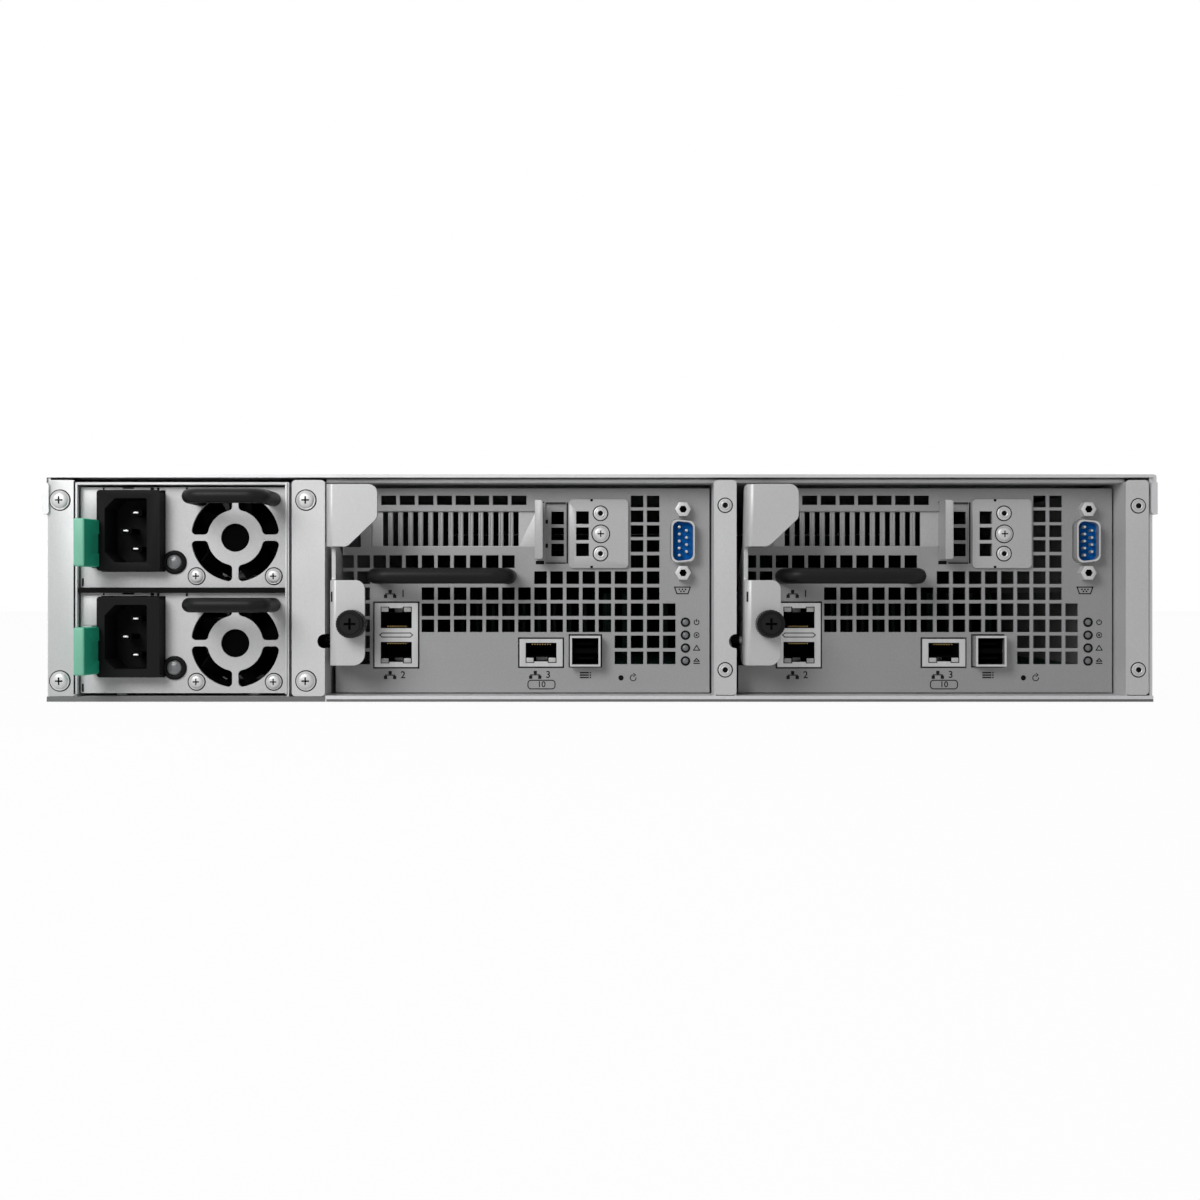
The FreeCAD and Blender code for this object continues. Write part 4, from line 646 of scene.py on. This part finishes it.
def supplyFlanges(body, x0, z0, face):
    values = {"panel": (0.9, 8.0, 26.4, 38.1), "panelProud": 0.35, "foldShades": ((8.6, 9.3, 38.0, 38.9),
              (16.3, 20.8, 38.35, 38.95), (27.2, 28.5, 37.9, 38.9), (29.7, 30.6, 37.8, 38.9), (0.5, 1.2, 0.5, 3.6),
              (40.9, 41.7, 37.6, 38.9)), "proud": 0.06}
    bm = bmesh.new()
    left, right, bottom, top = values["panel"]
    addBlock(bm, x0 + left, x0 + right, face - values["panelProud"], face + 0.1, z0 + bottom, z0 + top, 0.3)
    finishPiece(bm, body + "_flange", [stripSteel], body)
    # dark plates a hair proud of the face at the fold slots and at the small slot low on the face: painted shade in
    # place of the openings
    bm = bmesh.new()
    addBlocks(bm, values["foldShades"], face - values["proud"], face + 0.2, x0, z0)
    finishPiece(bm, body + "_fold_slot_shades", [recessShade], body)


def sunk(bm, mouth, wall, depth):
    bmesh.ops.inset_region(bm, faces=[mouth], thickness=wall, use_even_offset=True)
    inner = facesOf(bmesh.ops.extrude_face_region(bm, geom=[mouth])["geom"])
    bmesh.ops.delete(bm, geom=[mouth], context="FACES_ONLY")
    bmesh.ops.translate(bm, vec=(0, depth, 0), verts=[vert for face in inner for vert in face.verts])
    return inner


def cup(bm, left, right, near, far, bottom, top, skin):
    verts = addCube(bm, left, right, near, far, bottom, top)
    bm.normal_update()
    mouth = min({face for vert in verts for face in vert.link_faces}, key=lambda face: face.calc_center_median().y)
    sunk(bm, mouth, skin, far - near - skin)


# knobs, connectors, lamps and marks of the controllers

def thumbKnob(values):
    r, h = values["radius"], values["height"]
    profile = [(0, 0), (r - 0.3, 0), (r, 0.3), (r, h - 0.7), (r - 0.6, h), (r * 0.82, h), (r * 0.79, h - 0.28),
               (r * 0.73, h - 0.28), (r * 0.70, h - 0.05), (r * 0.3, h - 0.05), (0, h - 0.05)]
    head = turned(profile, values["steps"])
    bm = bmesh.new()
    bm.from_mesh(head)
    side = [vert for vert in bm.verts if abs(math.hypot(vert.co.x, vert.co.y) - r) < 0.01]
    ridges = [vert for vert in side
              if round(math.degrees(math.atan2(vert.co.y, vert.co.x)) / 360 * values["steps"]) % 2]
    bmesh.ops.scale(bm, vec=(values["knurl"], values["knurl"], 1), verts=ridges)
    head = savedMesh(bm, "knob", [gripRubber])
    # the cross slot in the knob takes the dark recess colour: painted shade
    return carved(head, crossCutter(values["arm"], values["slot"], h, values["depth"], recessShade))


def makeControllerPieces():
    values = {
        "grip": {"left": 14.5, "right": 71.5, "height": 45.9, "radius": 3.05, "reach": 19.1, "bend": 6.0, "sink": 0.3,
                 "segments": 28, "steps": 10},
        "knob": {"radius": 5.4, "height": 8.0, "steps": 64, "knurl": 0.965, "arm": 2.6, "slot": 1.05, "depth": 2.0},
        "knobAt": (10.0, 27.5), "knobBase": 20.5, "shank": 1.9, "shankLength": 12.2,
        "retainerScrew": {"radius": 3.3, "height": 1.2, "arm": 0.50, "slot": 0.19, "depth": 0.8, "steps": 36},
        "retainerScrewAt": (104.8, 62.7), "rivet": {"radius": 2.7, "bore": 1.0, "steps": 32},
        "rivetsAt": ((104.7, 70.8), (104.7, 54.9)), "lampX": 138.3,
        "lampRing": ((1.2, 0.05), (1.2, -0.2), (1.9, -0.2), (1.9, 0.1), (1.75, 0.24), (1.35, 0.22), (1.2, 0.05)),
        "lampLens": ((0, -0.2), (1.22, -0.2), (1.22, 0.1), (1.05, 0.36), (0.65, 0.52), (0, 0.58)),
    }
    knob = thumbKnob(values["knob"])
    lamp = [turned(values[key], 28) for key in ("lampRing", "lampLens")]
    for name, x0 in zip(controllers["names"], controllers["lefts"]):
        body = "controller_" + name
        z0, face = controllers["bottom"], controllers["face"]
        pullGrip(body, x0, z0, face, values["grip"])
        bm = bmesh.new()
        x, z = x0 + values["knobAt"][0], z0 + values["knobAt"][1]
        stamp(bm, knob, at(x, face - values["knobBase"], z))
        radius, long = values["shank"], values["shankLength"]
        shank = turned([(0, 0), (radius - 0.3, 0), (radius, 0.4), (radius, long), (0, long)], 24)
        stamp(bm, shank, at(x, face - values["knobBase"] + long - 0.2, z), 0)
        piece = finishPiece(bm, body + "_knob", [gripRubber, recessShade], body + "_thumbscrew", 35)
        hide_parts(body + "_thumbscrew")
        plate = face - controllers["retainerProud"]
        x, z = values["retainerScrewAt"]
        makeScrews(body + "_retainer_screw", values["retainerScrew"], [at(x0 + x, plate, z0 + z)], body)
        places = [(x0 + x, z0 + z) for x, z in values["rivetsAt"]]
        makeRivets(body + "_retainer_rivets", values["rivet"], places, plate, body)
        places = [at(x0 + values["lampX"], face, z0 + z) for z in controllers["lampHeights"]]
        makeStamped(body + "_status_lamps", lamp, places, [inletPlastic, lampGrey], body, 35)
        for make in (slottedCover, jackInsides, cableCage, serialPort, controllerMarks, controllerShadeMarks):
            make(body, x0, z0, face)


def slottedCover(body, x0, z0, face):
    values = {"first": 18.5, "pitch": 3.98, "slot": 2.0, "count": 13, "low": 58.0, "high": 71.5, "front": 1.35,
              "ridge": 0.74, "proud": 0.42}
    bm = bmesh.new()
    for i in range(values["count"]):
        left = x0 + values["first"] + values["slot"] + i * values["pitch"]
        wide = values["pitch"] - values["slot"]
        for start in (left + 0.08, left + wide - values["ridge"] - 0.08):
            addBlock(bm, start, start + values["ridge"], face + values["front"] - values["proud"],
                     face + values["front"] + 0.1, z0 + values["low"], z0 + values["high"], 0.3)
    finishPiece(bm, body + "_cover_ridges", [faceSteel], body)


def jackInsides(body, x0, z0, face):
    values = {"stackLeft": 15.4, "stackWide": 17.1, "stackLow": 10.1, "stackHigh": 25.3, "barHalf": 2.7,
              "singleLeft": 72.7, "singleWide": 17.0, "singleLow": 14.0, "singleHigh": 5.7,
              "cheek": 2.4, "wall": 1.5, "keyWide": 5.6, "keyHigh": 2.2, "keySkin": 0.3, "stand": 0.4, "deep": 14.4,
              "skin": 0.35, "slack": 0.03, "contacts": 8, "contactPitch": 1.02, "contact": (0.42, 0.55),
              "contactRise": 0.675, "contactSpan": (1.6, 9.0), "window": (2.9, 1.85), "backing": (3.45, 2.3),
              "bar": (6.5, 5.6, 0.8)}
    left, wide, barHalf = x0 + values["stackLeft"], values["stackWide"], values["barHalf"]
    middle = z0 + values["stackLow"] + values["stackHigh"] / 2
    socket = values["stackHigh"] / 2 - barHalf - values["wall"] - values["keyHigh"]
    single = z0 + values["singleLow"]
    jacks = ((left, wide, middle + barHalf, middle + barHalf + socket, 1),
             (left, wide, middle - barHalf - socket, middle - barHalf, -1),
             (x0 + values["singleLeft"], values["singleWide"], single, single + values["singleHigh"], -1))
    near, slack, keySkin = face - values["stand"], values["slack"], values["keySkin"]
    back = near + values["deep"]
    contactSpan = [near + depth for depth in values["contactSpan"]]
    linings, contacts, windows = bmesh.new(), bmesh.new(), bmesh.new()
    for start, across, low, high, keySide in jacks:      # keySide 1 has its key slot on top
        left, right, centre = start + values["cheek"], start + across - values["cheek"], start + across / 2
        key, row = (high, low) if keySide > 0 else (low, high)
        cup(linings, left + slack, right - slack, near + 0.5, back, low + slack, high - slack, values["skin"])
        for side in (-1, 1):
            x = centre + side * (values["keyWide"] - keySkin) / 2
            addPad(linings, x, key + keySide * values["keyHigh"] / 2, keySkin, values["keyHigh"], near + 0.5, back)
        for i in range(values["contacts"]):
            x = centre + (i - (values["contacts"] - 1) / 2) * values["contactPitch"]
            z = row + keySide * values["contactRise"]
            addPad(contacts, x, z, *values["contact"], *contactSpan, 0.1, 1)
        backWide, backHigh = values["backing"]
        z = key + keySide * (backHigh / 2 - 0.05)
        for x in (left + backWide / 2, right - backWide / 2):
            addPad(windows, x, z, backWide, backHigh, near - 0.06, near + 0.5, 0, 1, 1)
            addPad(windows, x, z, *values["window"], near - 0.16, near + 0.4, 0.25)
    finishPiece(linings, body + "_jack_linings", [darkPlastic], body)
    finishPiece(contacts, body + "_jack_contacts", [goldPlate], body)
    finishPiece(windows, body + "_jack_windows", [windowWhite, darkPlastic], body)
    bar = bmesh.new()
    tip, flat, half = values["bar"]
    corners = [(-tip, 0), (-flat, -half), (flat, -half), (tip, 0), (flat, half), (-flat, half)]
    inkPath(bar, at(x0 + values["stackLeft"] + wide / 2, near, middle), corners, 0.36, True)
    finishPiece(bar, body + "_jack_bar", [markInk], body)


def cableCage(body, x0, z0, face):
    values = {"left": 93.5, "right": 103.9, "low": 11.3, "high": 21.7, "front": 2.6, "deep": 13.0, "tongue": 1.0,
              "skin": 0.4, "slack": 0.03, "blade": 0.9, "bladeInset": 1.6, "bladeStart": 1.0, "bladeEnd": 6.0,
              "tongueEnd": 2.0}
    half = (values["high"] - values["low"] - values["tongue"]) / 2
    near, slack = face - values["front"], values["slack"]
    left, right, bottom = x0 + values["left"], x0 + values["right"], z0 + values["low"]
    bm = bmesh.new()
    back = face + values["deep"]
    for low in (bottom, bottom + half + values["tongue"]):
        cup(bm, left + slack, right - slack, near, back, low + slack, low + half - slack, values["skin"])
        addPad(bm, (left + right) / 2, low + half / 2, right - left - 2 * values["bladeInset"], values["blade"],
               near + values["bladeStart"], face + values["bladeEnd"], 0.15)
    addBlock(bm, left + slack, right - slack, near - 0.02, face + values["tongueEnd"], bottom + half - 0.05,
             bottom + half + values["tongue"] + 0.05, 0.15)
    finishPiece(bm, body + "_cage_insert", [darkPlastic], body)


def serialPort(body, x0, z0, face):
    values = {"at": (137.1, 59.75), "stand": 5.0, "wide": 7.9, "high": 16.0, "taper": 0.85, "corner": 1.9,
              "insertFront": 4.1, "insertThick": 0.7, "pinPitch": 2.77, "rowGap": 2.84, "pin": 0.62, "pinLong": 4.4,
              "pinSink": 0.8, "postStep": 12.5, "postAcross": 5.5, "postBevel": 0.35, "postBore": 1.3, "boreDeep": 3.5}
    x, z = x0 + values["at"][0], z0 + values["at"][1]
    front = face - values["stand"]
    bm = bmesh.new()
    place = at(x, front + values["insertFront"], z) @ Matrix.Diagonal((values["wide"], values["high"], 1, 1))
    made = bmesh.ops.create_grid(bm, x_segments=1, y_segments=1, size=0.5, matrix=place)
    for vert in made["verts"]:
        if vert.co.x > x:
            vert.co.z += values["taper"] if vert.co.z < z else -values["taper"]
    rounded(bm, list(bm.verts), values["corner"], 5, "VERTICES")
    thick = bmesh.ops.extrude_face_region(bm, geom=list(bm.faces))["geom"]
    bmesh.ops.translate(bm, vec=(0, values["insertThick"], 0), verts=vertsOf(thick))
    finishPiece(bm, body + "_serial_insert", [insertBlue], body)
    radius, long = values["pin"], values["pinLong"]
    pin = turned([(0, -long), (radius, -long), (radius, 0.0), (radius * 0.75, 0.35), (0, 0.5)], 14)
    across, pitch = values["rowGap"] / 2, values["pinPitch"]
    places = [at(x + side * across, front + values["pinSink"], z + (i - (count - 1) / 2) * pitch)
              for side, count in ((-1, 5), (1, 4)) for i in range(count)]
    makeStamped(body + "_serial_pins", [pin], places, [nickelPlate], body)
    bm = bmesh.new()
    radius = values["postAcross"] / 2 / math.cos(math.radians(30))
    for height in (z - values["postStep"], z + values["postStep"]):
        place = at(x, (front + face) / 2 + 0.1, height) @ Matrix.Rotation(math.radians(30), 4, "Z")
        bmesh.ops.create_cone(bm, cap_ends=True, segments=6, radius1=radius, radius2=radius,
                              depth=values["stand"] + 0.2, matrix=place)
        rounded(bm, list(postTip(bm, height, radius).edges), values["postBevel"], 2)
        wall = values["postAcross"] / 2 - values["postBore"] - values["postBevel"]
        # the bores of the posts take the dark recess colour: painted shade
        for inner in sunk(bm, postTip(bm, height, radius), wall, values["boreDeep"]):
            for side in {beside for edge in inner.edges for beside in edge.link_faces}:
                side.material_index = 1
    finishPiece(bm, body + "_serial_posts", [screwPlate, recessShade], body, 30)


def postTip(bm, height, radius):
    bm.normal_update()
    faces = [face for face in bm.faces if abs(face.calc_center_median().z - height) < radius]
    return min(faces, key=lambda face: face.calc_center_median().y)


# printed marks: plain numerals and small picture signs, a hair proud of the sheet

def inkBar(bm, place, start, end, width=0.46):
    across, up = end[0] - start[0], end[1] - start[1]
    middle = Matrix.Translation(((start[0] + end[0]) / 2, (start[1] + end[1]) / 2, 0.015))
    turn = Matrix.Rotation(math.atan2(up, across), 4, "Z")
    size = Matrix.Diagonal((math.hypot(across, up) + width, width, 0.07, 1))
    bmesh.ops.create_cube(bm, size=1, matrix=place @ middle @ turn @ size)


def inkPath(bm, place, points, width=0.46, closed=False):
    ends = points[1:] + points[:1] if closed else points[1:]
    for start, end in zip(points, ends):
        inkBar(bm, place, start, end, width)


def inkArc(bm, place, radius, start=0, sweep=360, width=0.46, steps=18):
    arc = bmesh.new()
    half = width / 2
    corners = [(radius - half, -0.02), (radius + half, -0.02), (radius + half, 0.05), (radius - half, 0.05)]
    section = arc.faces.new([arc.verts.new((x, 0, z)) for x, z in corners])
    bmesh.ops.rotate(arc, cent=(0, 0, 0), matrix=Matrix.Rotation(math.radians(start), 3, "Z"), verts=arc.verts)
    bmesh.ops.spin(arc, geom=list(arc.verts) + list(arc.edges) + [section], cent=(0, 0, 0), axis=(0, 0, 1),
                   angle=math.radians(sweep), steps=steps)
    stamp(bm, savedMesh(arc, "arc"), place)


def inkNumber(bm, place, text, size=3.9):
    curve = bpy.data.curves.new("numeral", "FONT")
    curve.body, curve.size, curve.extrude, curve.resolution_u, curve.offset = text, size, 0.035, 3, size * 0.014
    curve.align_x, curve.align_y = "CENTER", "CENTER"
    holder = addObject("numeral", curve)
    mesh = bpy.data.meshes.new_from_object(holder.evaluated_get(bpy.context.evaluated_depsgraph_get()))
    bpy.data.objects.remove(holder)
    stamp(bm, mesh, place @ Matrix.Translation((0, 0, 0.015)))


def networkSign(bm, place):
    for spot in ((0, 0.95), (-1.8, -0.95), (1.8, -0.95)):
        inkBar(bm, place, spot, spot, 1.3)
    inkPath(bm, place, [(-1.8, -0.95), (-1.8, 0), (1.8, 0), (1.8, -0.95)], 0.4)
    inkBar(bm, place, (0, 0), (0, 0.95), 0.4)


def storageSign(bm, place):
    for height in (-0.95, 0, 0.95):
        inkBar(bm, place, (-1.9, height), (1.1, height), 0.56)
        inkBar(bm, place, (2.0, height), (2.0, height), 0.56)


def serialSign(bm, place):
    inkPath(bm, place, [(-3.1, 1.3), (3.1, 1.3), (2.2, -1.3), (-2.2, -1.3)], 0.44, True)
    for spot in ((-1.2, 0.4), (0, 0.4), (1.2, 0.4), (-0.6, -0.4), (0.6, -0.4)):
        inkBar(bm, place, spot, spot, 0.6)


def roundedFrame(bm, place, wide, high, radius):
    across, up = wide / 2 - radius, high / 2 - radius
    for side in (-1, 1):
        inkBar(bm, place, (-across, side * high / 2), (across, side * high / 2), 0.4)
        inkBar(bm, place, (side * wide / 2, -up), (side * wide / 2, up), 0.4)
    for x, z, start in ((across, up, 0), (-across, up, 90), (-across, -up, 180), (across, -up, 270)):
        inkArc(bm, place @ Matrix.Translation((x, z, 0)), radius, start, 90, 0.4, 5)


def lampSigns(bm, power, state, alert, remove):
    inkArc(bm, power, 0.95, 120, 300, 0.38, 14)
    inkBar(bm, power, (0, 0.3), (0, 1.1), 0.38)
    inkArc(bm, state, 1.0, 0, 350, 0.36, 16)
    inkBar(bm, state, (0, 0), (0, 0), 0.75)
    inkPath(bm, alert, [(-1.2, -0.85), (1.2, -0.85), (0, 1.05)], 0.38, True)
    inkPath(bm, remove, [(-1.0, -0.1), (1.0, -0.1), (0, 0.95)], 0.4, True)
    inkBar(bm, remove, (-1.05, -0.95), (1.05, -0.95), 0.46)


def controllerMarks(body, x0, z0, face):
    values = {"jackSigns": ((23.6, 39.0, "1"), (23.6, 6.9, "2"), (81.0, 7.0, "3")),
              "speedFrame": (81.35, 3.15, 10.7, 3.4), "signs": ((98.7, 6.9), (137.1, 40.4), (117.6, 5.8)),
              "lampSignX": 142.7}
    bm = bmesh.new()
    for x, z, number in values["jackSigns"]:
        networkSign(bm, at(x0 + x - 2.1, face, z0 + z))
        inkNumber(bm, at(x0 + x + 3.0, face, z0 + z), number)
    x, z, wide, high = values["speedFrame"]
    roundedFrame(bm, at(x0 + x, face, z0 + z), wide, high, 1.2)
    inkNumber(bm, at(x0 + x, face, z0 + z), "10", 3.3)
    storage, serial, reset = [at(x0 + x, face, z0 + z) for x, z in values["signs"]]
    storageSign(bm, storage)
    serialSign(bm, serial)
    inkArc(bm, reset, 1.15, 80, 290, 0.36, 16)
    inkPath(bm, reset, [(0.2, 1.75), (0.95, 1.15), (0.2, 0.55)], 0.34)
    lampSigns(bm, *[at(x0 + values["lampSignX"], face, z0 + height) for height in controllers["lampHeights"]])
    finishPiece(bm, body + "_marks", [markInk], body)


# painted shade in the notches, gaps and holes of the sheets, and the sheets' edges, with painted shade along the lower
# edge of the base

def controllerShadeMarks(body, x0, z0, face):
    values = {"panel": ((82.95, 83.9, 66.8, 68.4), (82.95, 83.9, 57.3, 58.9)), "panelDepth": 1.0,
              "retainer": ((100.7, 101.7, 75.5, 76.42), (100.7, 101.7, 49.18, 50.1)),
              "bend": ((1.43, 1.78, 0.72), (1.74, 2.08, 0.36)), "bendLow": 35.9, "bendHigh": 39.8, "bendOut": 20.2,
              "reset": (112.8, 5.8), "resetRadius": 1.02,
              "stud": (-3.22, -0.1, 21.1), "studOut": 5.0, "studRadius": 1.56,
              "shadows": ((83.0, 91.0, 74.75, 75.2), (83.0, 91.0, 50.95, 51.4), (91.25, 91.85, 51.0, 75.2),
                          (79.1, 82.4, 50.7, 52.1), (79.1, 82.5, 75.0, 75.45))}
    # dark plates at the notches of the recess panel and the retainer, dark lines along the recess opening and under the
    # lip (the shadows), and a dark disc inside the reset hole: all painted shade
    bm = bmesh.new()
    panel, retainer = face + values["panelDepth"], face - controllers["retainerProud"]
    addBlocks(bm, values["panel"], panel - 0.06, panel + 0.1, x0, z0)
    addBlocks(bm, values["retainer"], retainer - 0.05, retainer + 0.2, x0, z0)
    addBlocks(bm, values["shadows"], face - 0.03, face + 0.2, x0, z0)
    x, z = values["reset"]
    stamp(bm, disc(values["resetRadius"], -1.2, -0.3, 24), at(x0 + x, face, z0 + z), 0)
    finishPiece(bm, body + "_notch_shades", [recessShade], body)
    # dark blocks in the slot where the lever passes the face, and a dark sleeve over the lever stud: painted shade
    bm = bmesh.new()
    low, high = z0 + values["bendLow"], z0 + values["bendHigh"]
    for left, right, inside in values["bend"]:
        y = face - values["bendOut"] + inside
        addBlock(bm, x0 + left, x0 + right, y, y + 0.8, low, high)
    start, end, height = values["stud"]
    sleeve = disc(values["studRadius"], 0, end - start, 24)
    sideways = Matrix.Rotation(math.radians(90), 4, "Y")
    stamp(bm, sleeve, at(x0 + start, face - values["studOut"], z0 + height, sideways), 0)
    finishPiece(bm, body + "_lever_notch_shade", [recessShade], body + "_lever")


def makeCageEdges():
    values = {"left": (-202.88, -202.15), "right": (-121.75, -121.02), "bottom": 3.0, "top": 84.65, "topLow": 83.95,
              "near": -345.9, "far": -344.0, "shadow": (-203.55, -202.88), "shadowTop": 85.4, "shelf": (42.45, 44.0),
              "shelfEnd": -340.0}
    left, right = values["left"], values["right"]
    bm = bmesh.new()
    for side in (left, right):
        addBlock(bm, *side, values["near"], values["far"], values["bottom"], values["top"], 0.08)
    addBlock(bm, left[1] - 0.1, right[0] + 0.1, values["near"], values["far"], values["topLow"], values["top"], 0.08)
    finishPiece(bm, "cage_edge", [stripSteel], "chassis")
    # painted shade: a dark stripe beside the left cage wall and a dark strip over the shelf edge between the two
    # supplies
    bm = bmesh.new()
    low, high = values["shadow"]
    addBlock(bm, low, high, rearPlane - 0.03, rearPlane + 0.5, values["bottom"], values["shadowTop"])
    low, high = values["shelf"]
    addBlock(bm, left[1] + 0.05, right[0] - 0.05, values["near"], values["shelfEnd"], low, high)
    finishPiece(bm, "cage_painted_shade", [recessShade], "chassis")


def makeBaseEdgeShade():
    # a dark band along the lower part of the base's rear edge: painted shade
    values = {"spans": ((-213.9, -106.2, 0.1, 2.1), (-105.8, 213.9, 0.1, 1.05)), "proud": 0.04, "deep": 0.3}
    bm = bmesh.new()
    addBlocks(bm, values["spans"], rearPlane - values["proud"], rearPlane + values["deep"])
    finishPiece(bm, "base_edge_shade", [edgeShadeSteel], "chassis")


# the drive side, and the screws of the cover

def lampLens(radius, rim, top, steps):
    return turned([(0, -0.3), (radius, -0.3), (radius, rim), (radius * 0.7, top), (0, top + 0.05)], steps)


def facingFront(x, y, z):
    return Matrix.Translation((x, y, z)) @ Matrix.Rotation(math.radians(180), 4, "Z") @ outward


def makeDriveFronts():
    values = {"leverInset": 3.0, "leverLong": 62.0, "lampIn": 3.4, "lampRises": (7.5, 2.5),
              "lampRadius": 1.25, "numberDrop": 7.0, "numberSize": 4.4, "ribs": 5, "ribPitch": 2.2, "ribWide": 0.9,
              "ribProud": 0.55, "ribHigh": 11.0, "ribFromEnd": 14.0, "button": (8.0, 12.0), "buttonFromPivot": 9.5,
              "buttonProud": 0.35}
    lens = lampLens(values["lampRadius"], 0.15, 0.4, 20)
    for name in [name for name in nodes if name.startswith("drive_tray_")]:
        number = name.rsplit("_", 1)[1]
        low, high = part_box(name)
        left, right = low.x / mm, high.x / mm
        middle = (low.z + high.z) / 2 / mm
        places = [facingFront(right - values["lampIn"], frontPlane, middle + rise) for rise in values["lampRises"]]
        makeStamped(name + "_lamps", [lens], places, [lampGrey], name)
        bm = bmesh.new()
        place = facingFront(right - values["lampIn"], frontPlane, middle - values["numberDrop"])
        inkNumber(bm, place, number, values["numberSize"] if len(number) == 1 else values["numberSize"] * 0.8)
        finishPiece(bm, name + "_number", [paleInk], name)
        bm = bmesh.new()
        start, behind = left + values["leverInset"], frontPlane - 0.5
        for i in range(values["ribs"]):
            x = start + values["leverLong"] - values["ribFromEnd"] + i * values["ribPitch"] + values["ribWide"] / 2
            addPad(bm, x, middle, values["ribWide"], values["ribHigh"], behind, frontPlane + values["ribProud"], 0.25)
        wide, tall = values["button"]
        x = start + values["buttonFromPivot"] + wide / 2
        addPad(bm, x, middle, wide, tall, behind, frontPlane + values["buttonProud"], 0.3)
        finishPiece(bm, name + "_lever_grip", [gripRubber], "tray_lever_" + number)


def makeEarPieces():
    values = {"ring": (3.35, 4.3), "ringProud": 0.5, "buttonAt": (234.5, 57.0), "podFront": 356.0,
              "lampRises": (-10.0, -14.0, -18.0), "lampRadius": 0.95}
    x, z = values["buttonAt"]
    inner, outer = values["ring"]
    proud = values["ringProud"]
    ring = turned([(inner, -0.3), (outer, -0.3), (outer, proud * 0.4), (outer - 0.25, proud), (inner + 0.2, proud),
                   (inner, proud * 0.5), (inner, -0.3)], 36)
    makeStamped("button_ring", [ring], [facingFront(x, values["podFront"], z)], [screwPlate], "chassis")
    lens = lampLens(values["lampRadius"], 0.1, 0.3, 18)
    places = [facingFront(x, values["podFront"], z + rise) for rise in values["lampRises"]]
    makeStamped("ear_lamps", [lens], places, [lampGrey], "chassis")


def makeCoverScrews():
    values = {"screw": {"radius": 2.9, "height": 0.9, "arm": 0.50, "slot": 0.20, "depth": 0.6, "steps": 32},
              "side": 214.0, "height": 81.0, "places": (-310.0, -95.0, 120.0, 300.0), "lidPlaces": (-150.0, 0.0, 150.0),
              "lidY": 330.0, "lidTop": 88.0, "lidSink": 0.75}
    screw = crossScrew(values["screw"])
    bm = bmesh.new()
    for side in (-1, 1):
        turn = Matrix.Rotation(math.radians(90 * side), 4, "Y")
        for y in values["places"]:
            stamp(bm, screw, at(side * values["side"], y, values["height"], turn))
    for x in values["lidPlaces"]:
        stamp(bm, screw, at(x, values["lidY"], values["lidTop"] - values["lidSink"], Matrix.Identity(4)))
    finishPiece(bm, "cover_screws", [screwPlate, recessShade], "chassis")


makeStripFasteners()
makeCageEdges()
makeBaseEdgeShade()
makeCoverScrews()
print("strip and cover fasteners")
makeSupplyPieces()
print("power supply pieces")
makeControllerPieces()
print("controller pieces")
makeDriveFronts()
makeEarPieces()
print("drive side pieces")
